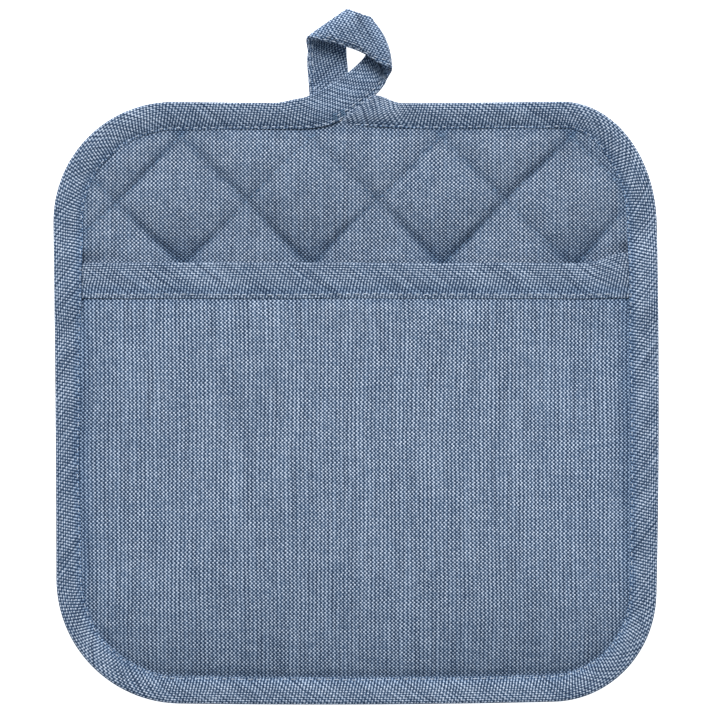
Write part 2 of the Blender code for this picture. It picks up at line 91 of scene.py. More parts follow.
TAPE = 1.0
FRONT_LEG_TOP = 6.1
RIM_BASE = 1.3
RIM_TOP_BARE = 4.55
RIM_TOP_COVERED = 2.9
PAD_EDGE_INSET = 2.4
PAD_EDGE_HALF = 0.6
PAD_START = 0.2
PAD_STEPS = 191
MOUTH_TOP = 31.5
MOUTH_FOOT = 19.6
MOUTH_FLARE = 3.4
FLARE_START, FLARE_LENGTH = 77.0, 13.0
MOUTH_ENDS = 26.0
MOUTH_STATIONS = 170
PANEL_TOP_EDGE = 29.8
PANEL_INSET = 3.3
PANEL_RIM_MIDDLE = 4.0
PANEL_START = 0.2
PANEL_COLUMNS, PANEL_ROWS = 190, 150
MOUTH_RIM_MIDDLE = 4.1
MOUTH_LIFT = 0.6
ROOT_LEFT, ROOT_RIGHT = -18.0, 1.0
ROOT_FADE = 20.0
ROOT_LIFT = 1.95
ROOT_NOTCH = 3.6
ROOT_SQUEEZE = 0.25
RING_START = ((6.45, 87.85), (-7.15, 77.75))
RING_END = ((-17.9, 86.9), (-17.2, 76.6))
START_HUMP_END = 15.0
END_HUMP_START = -27.0
RING_SKEW_LENGTH = 16.0
RING_FOLD_DEPTH = 1.2
RING_STATIONS = 520
TAPE_STEP = 1.3

# The filling's cloth simulation.
PUFF_CAP = 0.8
PUFF_FRAMES = 20
PUFF_CLOTH = {
    "quality": 5,
    "mass": 0.15,
    "shrink_min": -0.002,
    "use_pressure": True,
    "uniform_pressure_force": 20.0,
    "vertex_group_mass": "held",
}

# The loop's tape, from where it leaves the pad. A ruling is a straight line from the fold to the open edges:
# its two ends, the middle's level, half the gap between the legs at the fold and at the open edges, and the
# cloth's thickness. A bend is a half turn about its line: the level of its middle, its radius, 1 where it
# turns up and -1 where it turns down, how far it slides along its line (lead from minus to plus, drift from
# none to all), and how far its outside bulges.
LOOP_TAPE = 1.0
LOOP_SLIT = 0.12
LOOP_LEAN = 0.6
LOOP_FINER = 0.07
Ruling = namedtuple(
    "Ruling", "fold_x fold_y open_x open_y level fold_gap open_gap thick",
    defaults=(LOOP_SLIT, LOOP_SLIT, LOOP_TAPE),
)
Bend = namedtuple("Bend", "fold_x fold_y open_x open_y level radius side lead drift bulge")
LOOP_ROWS = (
    Ruling(-14.4, 88.3, -12.9, 77.0, 4.0, 0.90, 1.02),
    Ruling(-11.1, 90.0, -8.7, 77.9, 4.0, 0.55, 1.02),
    Ruling(-7.4, 92.2, -4.5, 79.7, 4.0, 0.30, 1.02),
    Ruling(-4.7, 93.9, -1.0, 82.2, 4.0, 0.18, 1.02),
    Ruling(-2.3, 95.7, 2.5, 84.9, 3.95, open_gap=0.95),
    Ruling(0.1, 97.8, 5.9, 87.2, 3.85, open_gap=0.55),
    Ruling(2.4, 100.0, 8.2, 89.5, 3.70, open_gap=0.25),
    Ruling(4.1, 102.8, 9.6, 91.4, 3.50),
    Ruling(4.5, 106.5, 10.2, 92.5, 3.35),
    Bend(4.8, 113.3, 11.4, 96.3, 5.95, radius=2.6, side=1, lead=-2.6, drift=0.0, bulge=1.7),
    Ruling(1.6, 115.2, 4.2, 100.9, 8.5),
    Ruling(1.2, 115.3, -0.2, 102.9, 8.4),
    Ruling(0.8, 115.4, -4.6, 104.3, 8.0),
    Ruling(0.4, 115.5, -9.0, 105.5, 7.5),
    Bend(-2.2, 116.5, -15.6, 107.2, 4.9, radius=2.15, side=-1, lead=1.3, drift=1.3, bulge=0.0),
    Ruling(-2.9, 109.8, -16.2, 102.8, 2.75),
    Ruling(-3.3, 105.2, -16.5, 100.0, 2.35),
    Ruling(-3.1, 100.4, -16.4, 97.0, 1.85),
    Ruling(-2.6, 95.8, -16.1, 93.4, 1.40, thick=0.84),
    Ruling(-2.7, 91.4, -15.8, 89.8, 1.05, thick=0.78),
    Ruling(-2.9, 87.4, -15.6, 86.6, 0.90, thick=0.72),
    Ruling(-3.0, 83.9, -15.6, 83.7, 0.83, thick=0.68),
    Ruling(-3.2, 80.6, -15.6, 80.6, 0.83, thick=0.68),
)
BEND_STATIONS = 7

# How deep stretches of the quilting seams of each slant are drawn in: their places and depths.
SEAM_DEPTHS = {
    "/": (
        (-69.2, 64.5, 0.95), (-47.3, 41.9, 0.72), (-36.9, 52.0, 0.35), (-26.2, 65.0, 0.12),
        (-3.4, 42.2, 0.80), (6.7, 52.0, 0.22), (21.5, 66.4, 0.55), (40.9, 41.9, 0.95),
        (50.3, 52.0, 1.10), (61.7, 63.4, 1.15), (82.8, 39.2, 0.90),
    ),
    "\\": (
        (-68.7, 41.6, 1.00), (-53.0, 63.5, 0.60), (-33.9, 49.0, 0.85), (-6.7, 65.0, 0.25),
        (6.7, 52.0, 0.28), (13.4, 45.3, 0.95), (39.2, 62.0, 0.50), (64.0, 38.9, 0.35),
    ),
}
SEAM_DEPTH_REACH = 9.0
USUAL_SEAM_DEPTH, USUAL_SEAM_WEIGHT = 0.8, 0.15
MOUTH_CROSSING_REACH, UPPER_CROSSING_REACH = 6.5, 8
SEAM_RUN = np.arange(-260.0, 120.0, 0.8)
SEAM_NUMBERS = range(-8, 4)

# Unevenness: the seed and the size of its waves.
WANDER_ACROSS, WANDER_UP = (5, 46), (6, 52)
PAD_SWELLS, PAD_DIMPLES = (2, 30), (3, 9)
PANEL_SWELLS, PANEL_DIMPLES = (11, 75), (12, 24)
RING_WIDTH, RING_CROWN, RING_PRESS = (21, 26), (22, 31), (23, 19)
FOOT_WAVES, CREST_WAVES = (31, 33), (32, 47)
STITCH_WAVES = (41, 9)


def smooth(value):
    """0 below 0, 1 above 1, and an even S between: t * t * (3 - 2t)."""
    t = np.clip(value, 0.0, 1.0)
    return t * t * (3 - 2 * t)


def rise(distance, length):
    """0 at the start and 1 well past length: one minus e to the power of minus distance over length."""
    return 1 - np.exp(-np.maximum(distance, 0.0) / length)


def bell(distance, width):
    """A bell curve, 1 at no distance: e to the power of minus the square of distance over width."""
    return np.exp(-(distance / width) ** 2)


def unit(vectors):
    """Vectors over their lengths."""
    return vectors / np.linalg.norm(vectors, axis=-1, keepdims=True)


def running_total(steps):
    """0, and then the sum of the steps so far."""
    return np.concatenate(([0.0], np.cumsum(steps)))


def distance_along(path):
    """The distance along a path at each of its points."""
    return running_total(np.linalg.norm(np.diff(path, axis=0), axis=1))


def between_rows(at, knots, rows):
    """Each column of rows at places at, straight between the knots."""
    return np.stack([np.interp(at, knots, rows[:, k]) for k in range(rows.shape[1])], axis=-1)


def side_points(start, end, bow, steps):
    """A straight side from start to end, bowed out as a parabola of height bow."""
    start, end = np.array(start, float), np.array(end, float)
    t = np.arange(steps)[:, None] / steps
    way = unit(end - start)
    return start + (end - start) * t + np.array([-way[1], way[0]]) * (4 * bow * t * (1 - t))


def corner_points(corner, turned):
    """Points of a quarter ellipse, clockwise from the corner's first angle by turned degrees."""
    angles = np.radians(corner.first_angle - np.asarray(turned, float))
    return np.column_stack((corner.x + corner.across * np.cos(angles), corner.y + corner.up * np.sin(angles)))


def make_outline():
    """The closed outline, the distance along it at its points, and its whole length."""
    points = []
    for corner, following in zip(CORNERS, CORNERS[1:] + CORNERS[:1]):
        points.append(corner_points(corner, 90 * np.arange(CORNER_STEPS) / CORNER_STEPS))
        start, end = corner_points(corner, [90])[0], corner_points(following, [0])[0]
        points.append(side_points(start, end, corner.side_bow, SIDE_STEPS))
    points = np.roll(np.vstack(points), SIDE_STEPS // 2, axis=0)
    steps = np.linalg.norm(np.roll(points, -1, axis=0) - points, axis=1)
    return points, running_total(steps[:-1]), steps.sum()


OUTLINE, ALONG, GIRTH = make_outline()


def at_outline(along):
    """Points of the outline at distances along it, and the directions into the pad there."""
    knots = np.append(ALONG, GIRTH)
    closed = np.vstack((OUTLINE, OUTLINE[:1]))

    def place(distance):
        return between_rows(np.mod(distance, GIRTH), knots, closed)

    reach = 2.0
    way = unit(place(along + reach) - place(along - reach))
    return place(along), np.column_stack((way[:, 1], -way[:, 0]))


def along_of_corner(corner):
    """The distance along the outline of the middle of a corner."""
    middle = corner_points(corner, [45])[0]
    return ALONG[((OUTLINE - middle) ** 2).sum(axis=1).argmin()]


def edge_at_height(height, side):
    """The distance along the outline where it passes a height on the right (side 1) or the left (side -1)."""
    on_side = OUTLINE[:, 0] * side > 60
    return ALONG[np.where(on_side, np.abs(OUTLINE[:, 1] - height), 1e9).argmin()]


def face_width(along):
    """The width of the edge binding's face at a distance along the edge, straight between the rows."""
    return np.interp(np.mod(along, GIRTH), *FACE_WIDTHS.T)


def from_edge(x, y):
    """How far inside the outline places are, and where along it: the nearest foot on its short segments."""
    points = np.column_stack((np.ravel(x), np.ravel(y)))
    batches = np.array_split(points, len(points) // 4000 + 1)
    nearest = [((batch[:, None, :] - OUTLINE[None]) ** 2).sum(axis=2).argmin(axis=1) for batch in batches]
    nearest = np.concatenate(nearest)
    best = np.full(len(points), 1e9)
    along = ALONG[nearest].copy()
    for first in ((nearest - 1) % len(OUTLINE), nearest):
        a, b = OUTLINE[first], OUTLINE[(first + 1) % len(OUTLINE)]
        side = b - a
        t = np.clip(((points - a) * side).sum(axis=1) / (side ** 2).sum(axis=1), 0, 1)
        away = np.linalg.norm(points - a - side * t[:, None], axis=1)
        along = np.where(away < best, ALONG[first] + t * np.linalg.norm(side, axis=1), along)
        best = np.minimum(away, best)
    return best.reshape(np.shape(x)), along.reshape(np.shape(x))


def ripple(x, y, seed, size):
    """Soft unevenness, mostly from -1 to 1: six waves about size millimetres long in odd directions, added up
    and divided by 3.2."""
    rng = np.random.default_rng(seed)
    ranges = ((0, math.pi), (0.7, 1.5), (0, 6.28))
    turns, stretches, phases = (rng.uniform(low, high, 6) for low, high in ranges)
    total = np.zeros(np.broadcast(x, y).shape)
    for turn, stretch, phase in zip(turns, stretches, phases):
        run = x * math.cos(turn) + y * math.sin(turn)
        total = total + np.sin(run * 2 * math.pi / (size * stretch) + phase)
    return total / 3.2


def waver(along, seed, size):
    """The same unevenness along a line."""
    return ripple(along, 0 * along, seed, size)


def root_lift(x, y):
    """1 over the loop's tail, where the back of the edge is lifted, fading to 0 beside it."""
    on_left = smooth((x - ROOT_LEFT + ROOT_FADE) / ROOT_FADE)
    on_right = smooth((ROOT_RIGHT + ROOT_FADE - x) / ROOT_FADE)
    return on_left * on_right * (y > 0)


def mouth_crest(x):
    """The height of the mouth binding's upper edge: level, and drawn up at its right end."""
    return MOUTH_TOP + MOUTH_FLARE * smooth((x - FLARE_START) / FLARE_LENGTH)


def mouth_share(y, core, fade):
    """1 where the pocket's bound mouth passes under the edge binding and core past it, then fading to 0."""
    middle, half = (MOUTH_TOP + MOUTH_FOOT) / 2, (MOUTH_TOP - MOUTH_FOOT) / 2
    return 1 - smooth((np.abs(y - middle) - half - core) / fade)


# ---- Meshes


def read(items, attribute, kind=np.float32, width=1):
    """One attribute of all of a mesh's items, as rows of width numbers."""
    values = np.empty(len(items) * width, kind)
    items.foreach_get(attribute, values)
    return values.reshape(-1, width) if width > 1 else values


def add_piece(name, points, faces, uv, material, painted_shade=None):
    """One smooth mesh from points in millimetres, with a UV map in millimetres of cloth and, where it is
    given, an attribute of painted shade that is 0 on open cloth and 1 where the cloth is painted darkest."""
    mesh = bpy.data.meshes.new(name)
    mesh.from_pydata((np.asarray(points, float) * MM).tolist(), [], np.asarray(faces).tolist())
    mesh.shade_smooth()
    if uv is not None:
        corner = read(mesh.loops, "vertex_index", np.int32)
        layer = mesh.uv_layers.new(name=UV_NAME)
        layer.data.foreach_set("uv", np.asarray(uv, np.float32)[corner].ravel())
    if painted_shade is not None:
        shade_tint = mesh.attributes.new(PAINTED_SHADE_NAME, "FLOAT", "POINT")
        shade_tint.data.foreach_set("value", np.asarray(painted_shade, np.float32).ravel())
    mesh.materials.append(material)
    mesh.validate()
    mesh.update()
    piece = bpy.data.objects.new(name, mesh)
    bpy.context.scene.collection.objects.link(piece)
    return piece


def grid_faces(rows, columns, first=0):
    """Quads of a grid whose points are numbered row by row, facing up where rows run up and columns right."""
    index = first + np.arange(rows * columns).reshape(rows, columns)
    return np.stack((index[:-1, :-1], index[:-1, 1:], index[1:, 1:], index[1:, :-1]), axis=-1).reshape(-1, 4)


def slab(name, x, y, upper, lower, painted_shade, material):
    """A closed sheet from a grid of places and its upper and lower levels, joined by a wall round its rim."""
    rows, columns = x.shape
    count = rows * columns
    points = np.vstack([np.column_stack((x.ravel(), y.ravel(), level.ravel())) for level in (upper, lower)])
    index = np.arange(count).reshape(rows, columns)
    rim = np.concatenate((index[0, :-1], index[:-1, -1], index[-1, :0:-1], index[:0:-1, 0]))
    after = np.roll(rim, -1)
    wall = np.column_stack((rim, rim + count, after + count, after))
    faces = np.vstack((grid_faces(rows, columns), grid_faces(rows, columns, count)[:, ::-1], wall))
    return add_piece(name, points, faces, points[:, :2], material, np.tile(painted_shade.ravel(), 2))


def patch(bottom, right, top, left):
    """A grid of places between four edges that meet at their ends: each edge pair blended straight, less the
    four corners blended both ways (a Coons patch). bottom and top run right, left and right run up."""
    rows, columns = len(left), len(bottom)
    v, u = np.linspace(0, 1, rows)[:, None, None], np.linspace(0, 1, columns)[None, :, None]
    sides = (1 - v) * bottom[None] + v * top[None] + (1 - u) * left[:, None] + u * right[:, None]
    corners = (1 - v) * ((1 - u) * bottom[0] + u * bottom[-1]) + v * ((1 - u) * top[0] + u * top[-1])
    grid = sides - corners
    return grid[..., 0], grid[..., 1]


def ring_edge(start, end, inset, steps):
    """Places along the outline from start to end, moved in by inset, a number or a function of the place."""
    place, inward = at_outline(np.linspace(start, end, steps))
    depth = inset(*place.T) if callable(inset) else inset
    return place + inward * np.reshape(depth, (-1, 1))


def sweep(name, origin, across, off, section, along, girth, material, painted_shade):
    """A closed strip: at each station the section's points lie at origin + s * across + h * off, and the last
    point joins the first. along and girth are the UV coordinates of stations and of section points, and the
    last argument is the painted shade at each point."""
    stations, count = section.shape[:2]
    points = origin[:, None] + section[..., :1] * across[:, None] + section[..., 1:] * off[:, None]
    index = np.arange(stations * count).reshape(stations, count)
    here, there = index[:-1], index[1:]
    sides = np.stack((np.roll(here, -1, 1), here, there, np.roll(there, -1, 1)), axis=-1).reshape(-1, 4)
    step = np.arange(count // 2 - 1)
    cap = np.column_stack((step, step + 1, count - 2 - step, count - 1 - step))
    caps = np.vstack((cap + index[0, 0], cap[:, ::-1] + index[-1, 0]))
    uv = np.stack(np.broadcast_arrays(along[:, None], girth), axis=-1).reshape(-1, 2)
    return add_piece(name, points.reshape(-1, 3), np.vstack((sides, caps)), uv, material, painted_shade)


def soften(rows, widths):
    """Each column of rows smoothed along them by a bell curve of widths rows, with the ends kept."""
    reach = int(math.ceil(3 * widths))
    weights = np.exp(-0.5 * (np.arange(-reach, reach + 1) / widths) ** 2)
    weights /= weights.sum()
    before = 2 * rows[:1] - rows[reach:0:-1]
    after = 2 * rows[-1:] - rows[-2:-reach - 2:-1]
    padded = np.vstack((before, rows, after))
    return np.column_stack([np.convolve(padded[:, k], weights, "valid") for k in range(rows.shape[1])])


# ---- Levels of the cloth


def rim_top(x, y):
    """The pad's upper level where the edge binding grips it: lower below the mouth and by the loop's root."""
    covered = 1 - smooth((y - mouth_crest(x)) / 5)
    level = RIM_TOP_BARE + (RIM_TOP_COVERED - RIM_TOP_BARE) * covered
    return level - ROOT_SQUEEZE * root_lift(x, y)


def rim_base(x, y):
    """The pad's lower level where the edge binding grips it."""
    return RIM_BASE + (ROOT_LIFT + ROOT_SQUEEZE - 0.1) * root_lift(x, y)


def pad_inset(x, y):
    """How far inside the outline the pad's rim runs: further beside the loop's tail."""
    return PAD_EDGE_INSET + ROOT_NOTCH * root_lift(x, y)


def seam_depth(x, y, slant):
    """How deep the seams of one slant are at each place: the mean of the usual depth, at its weight, and of
    the table's depths, each weighing a bell curve of its distance."""
    total = np.full(x.shape, USUAL_SEAM_WEIGHT)
    depth = USUAL_SEAM_DEPTH * total
    for row_x, row_y, row_depth in SEAM_DEPTHS[slant]:
        near = np.exp(-0.5 * ((x - row_x) ** 2 + (y - row_y) ** 2) / SEAM_DEPTH_REACH ** 2)
        depth += row_depth * near
        total += near
    return depth / total


def wander(x, y):
    """How far the seams stray from straight lines, across and up."""
    return 0.5 * ripple(x, y, *WANDER_ACROSS), 0.5 * ripple(x, y, *WANDER_UP)


def seam_distances(x, y, quilt):
    """How far each place is from the nearest seam of each slant, along the slope, and how near it is to a
    crossing in the row at the pocket's mouth and in the row above: bell curves of the distance."""
    stray_x, stray_y = wander(x, y)
    u = x - quilt.crossing_x / MM + stray_x
    v = y - quilt.crossing_y / MM + stray_y
    diamond = quilt.diamond / MM
    pitch = diamond / math.sqrt(2)
    falling, climbing = (v + u) / math.sqrt(2), (v - u) / math.sqrt(2)
    sideways = np.mod(u, diamond) - diamond / 2
    near = np.exp(-0.5 * (sideways ** 2 + (v + diamond / 2 - 0.5) ** 2) / MOUTH_CROSSING_REACH ** 2)
    sideways = np.mod(u + diamond / 2, diamond) - diamond / 2
    apart = np.exp(-0.5 * (sideways ** 2 + v ** 2) / UPPER_CROSSING_REACH ** 2)
    falling, climbing = (away - pitch * np.round(away / pitch) for away in (falling, climbing))
    return falling, climbing, near, apart


def tuft(x, y, quilt):
    """1 on a cushioned diamond and 0 on a seam: for each slant one minus depth times a dip, multiplied
    together. The dip is e to the power of minus the softened distance to the seam over the crease's width,
    part of it four times as narrow. The filling sags, so the cloth climbs steeply above a seam and slowly
    below it, and most at the mouth's crossings, while the crossings above it are shallow. Also the painted
    shade there: darker along each seam and round the crossings at the mouth."""
    falling, climbing, near, apart = seam_distances(x, y, quilt)
    share = 1 - 0.42 * near
    painted_shade = 0.45 * near * (y > MOUTH_TOP - 2)
    for slant, away in (("\\", falling), ("/", climbing)):
        width = np.where(away > 0, quilt.crease, quilt.foot) / MM
        soft = np.sqrt(away ** 2 + 0.12) - 0.35
        sharp = np.where(away > 0, 0.5, 0.12)
        dip = sharp * np.exp(-4 * soft / width) + (1 - sharp) * np.exp(-soft / width)
        depth = seam_depth(x, y, slant) * (1 - 0.4 * apart)
        share = share * (1 - depth * dip)
        painted_shade = painted_shade + 0.56 * np.minimum(depth, 1) * bell(away, np.where(away > 0, 1.9, 0.6))
    return share, painted_shade


def pad_levels(x, y, inset, along, quilt):
    """The quilted pad's upper and lower levels: the gripped rim's, rising to those of the tufts and seams.
    Also its painted shade: along the seams, round the mouth's crossings and just inside the edge binding."""
    inside = inset - face_width(along) - PAD_START
    under_pocket = 1 - smooth((y - mouth_crest(x) + 4) / 4)
    share = rise(inside - under_pocket, 7.0)
    lofted, painted_shade = tuft(x, y, quilt)
    seam = quilt.seam_level / MM
    dive, brow = quilt.dive / MM * smooth((54 - y) / 22), quilt.brow / MM * smooth((y - 56) / 22)
    crown = quilt.tuft_level / MM - dive - brow
    uneven = 0.16 * ripple(x, y, *PAD_SWELLS) + 0.05 * ripple(x, y, *PAD_DIMPLES)
    grip_top, grip_base = rim_top(x, y), rim_base(x, y)
    upper = grip_top + (seam + (crown - seam) * lofted + uneven * lofted - grip_top) * share
    lower = grip_base + (1.7 * (1 - lofted) - grip_base) * rise(inside, 3.0)
    lower = np.where(inside > 0, np.maximum(lower - 0.15 * smooth(inside / 4), 0.0), lower)
    edge = 1 - smooth((inset - pad_inset(x, y)) / 1.2)
    middle = (grip_top + grip_base) / 2
    painted_shade = np.clip(painted_shade + 0.25 * bell(np.maximum(inside, 0), 1.8), 0, 1)
    upper = upper + (middle + PAD_EDGE_HALF - upper) * edge
    return upper, lower + (middle - PAD_EDGE_HALF - lower) * edge, painted_shade


def puff(x, y, upper, lower, held):
    """How far the filling swells the pad's upper face, by Blender's cloth simulation on every other point of
    the grid: pressure inside a cloth that is a little larger than its place, with the seams, the rim and the
    underside held. The move is capped, and is the mean of its neighbours' at the points between."""
    scene = bpy.context.scene
    coarse = np.s_[::2, ::2]
    trial = slab("pad_trial", x[coarse], y[coarse], upper[coarse], lower[coarse], held[coarse], None)
    count = upper[coarse].size
    grip = np.concatenate((np.round(10 * held[coarse].ravel()), np.full(count, 10))).astype(int)
    group = trial.vertex_groups.new(name="held")
    for tenth in range(1, 11):
        group.add(np.flatnonzero(grip == tenth).tolist(), tenth / 10, "REPLACE")
    cloth = trial.modifiers.new("filling", "CLOTH")
    for key, value in PUFF_CLOTH.items():
        setattr(cloth.settings, key, value)
    cloth.settings.effector_weights.gravity = 0.0
    cloth.collision_settings.use_collision = False
    for number in range(1, PUFF_FRAMES + 1):
        scene.frame_set(number)
    swollen = trial.evaluated_get(bpy.context.evaluated_depsgraph_get()).to_mesh()
    moved = read(swollen.vertices, "co", width=3)[:count, 2].reshape(upper[coarse].shape) / MM - upper[coarse]
    mesh = trial.data
    bpy.data.objects.remove(trial)
    bpy.data.meshes.remove(mesh)
    scene.frame_set(1)
    moved = np.clip(moved, -PUFF_CAP, PUFF_CAP)
    whole = np.empty(upper.shape)
    whole[coarse] = moved
    whole[1::2, ::2] = (moved[:-1] + moved[1:]) / 2
    whole[:, 1::2] = (whole[:, :-1:2] + whole[:, 2::2]) / 2
    return whole


def panel_middle(x, y, pocket):
    """The pocket panel's middle level: low under the edge binding, then rising to stand off the pad, partly
    at once and the rest over a short and a long swell. Also the share of the climb done, and the painted
    shade: darker by its seams and more so up the sides, darker towards its edges over a long reach, and a
    dark line along the mouth tape's foot."""
    inset, along = from_edge(x, np.minimum(y, MOUTH_FOOT))
    inside = inset - face_width(along) - PANEL_START
    inside = np.sqrt(np.maximum(inside, 0) ** 2 + 0.4) - math.sqrt(0.4)
    swell = pocket.swell / MM
    share = 0.07 * rise(inside, pocket.rise / MM)
    share = share + 0.52 * rise(inside, swell) + 0.41 * rise(inside, 3.3 * swell)
    mouth = np.where(y < MOUTH_TOP, mouth_share(y, 2.0, 6), 1.0)
    low = PANEL_RIM_MIDDLE + (MOUTH_RIM_MIDDLE - PANEL_RIM_MIDDLE) * mouth
    high = pocket.level / MM + (pocket.mouth_level - pocket.level) / MM * smooth((y - MOUTH_FOOT + 14) / 14)
    quiet = 1 - 0.75 * smooth((y - MOUTH_FOOT + 10) / 8)
    uneven = 0.35 * ripple(x, y, *PANEL_SWELLS) + 0.10 * ripple(x, y, *PANEL_DIMPLES)
    side = smooth((y + 85) / 20)
    painted_shade = (0.22 + 0.16 * side) * bell(inside, 1.2 + 1.3 * side) + 0.18 * np.exp(-inside / 26)
    painted_shade = painted_shade + 0.3 * bell(MOUTH_FOOT - y, 1.4)
    return low + (high + uneven * quiet - low) * share, share, painted_shade


def panel_thickness(y, share):
    """The pocket panel's thickness: pressed under the bindings, full in the open."""
    mouth = 1 - smooth((MOUTH_FOOT - 0.5 - y) / 3.5)
    open_cloth = 1.2 + 0.4 * share
    bound = 0.8 + 0.55 * share
    return open_cloth + (bound - open_cloth) * mouth


# ---- Shader maths


def maths(operation, swapped=False):
    """A method that adds a Math node for its socket and the other values, which come first if swapped."""

    def method(wire, *others):
        values = (*others, wire) if swapped else (wire, *others)
        return wire.cloth.node("ShaderNodeMath", {"operation": operation}, dict(enumerate(values)))

    return method


class Wire:
    """A shader socket that Python's operators work on; each adds its Math node."""

    def __init__(self, cloth, socket):
        self.cloth = cloth
        self.socket = socket

    __add__ = __radd__ = maths("ADD")
    __sub__ = maths("SUBTRACT")
    __rsub__ = maths("SUBTRACT", swapped=True)
    __mul__ = __rmul__ = maths("MULTIPLY")
    __truediv__ = maths("DIVIDE")
    __abs__ = maths("ABSOLUTE")
    sine = maths("SINE")
    cosine = maths("COSINE")
    floor = maths("FLOOR")

    def between(self, low, high, smoothly=True):
        """0 at low and 1 at high, held beyond them."""
        settings = {"interpolation_type": "SMOOTHSTEP" if smoothly else "LINEAR", "clamp": True}
        inputs = {"Value": self, "From Min": low, "From Max": high, "To Min": 0.0, "To Max": 1.0}
        return self.cloth.node("ShaderNodeMapRange", settings, inputs)


class Cloth:
    """One material and the nodes in it."""

    def __init__(self, name):
        self.material = bpy.data.materials.new(name)
        self.material.use_nodes = True
        self.tree = self.material.node_tree
        self.shader = self.tree.nodes["Principled BSDF"]

    def node(self, kind, settings=None, inputs=None, output=0):
        """Adds a node: its settings first, then its sockets, each a value or a Wire."""
        made = self.tree.nodes.new(kind)
        for key, value in (settings or {}).items():
            setattr(made, key, value)
        for key, value in (inputs or {}).items():
            self.join(made.inputs[key], value)
        return Wire(self, made.outputs[output])

    def join(self, socket, value):
        """Links a Wire to a socket or sets its value, a colour's with its fourth number, 1."""
        if isinstance(value, Wire):
            self.tree.links.new(value.socket, socket)
        elif socket.type == "RGBA":
            socket.default_value = (*value, 1.0)
        else:
            socket.default_value = value

    def mix(self, factor, first, second, blend="MIX"):
        """Two colours mixed; 6 and 7 are the Mix node's colour sockets, and 2 is its colour output."""
        settings = {"data_type": "RGBA", "blend_type": blend}
        return self.node("ShaderNodeMix", settings, {0: factor, 6: first, 7: second}, 2)

    def noise(self, place, scale=1.0, detail=1.0):
        """Soft noise at a place, a Wire or two or three values."""
        vector = place if isinstance(place, Wire) else self.vector(*place)
        return self.node("ShaderNodeTexNoise", {}, {"Vector": vector, "Scale": scale, "Detail": detail})

    def vector(self, x, y, z=0.0):
        """A vector from its parts."""
        return self.node("ShaderNodeCombineXYZ", {}, {0: x, 1: y, 2: z})

    def cloth_place(self):
        """The UV map's two coordinates, in millimetres of cloth."""
        place = self.node("ShaderNodeUVMap", {"uv_map": UV_NAME})
        return tuple(self.node("ShaderNodeSeparateXYZ", {}, {0: place}, k) for k in (0, 1))

    def set(self, **values):
        """Joins values to the shader's sockets, named with _ for a space."""
        for key, value in values.items():
            self.join(self.shader.inputs[key.replace("_", " ")], value)


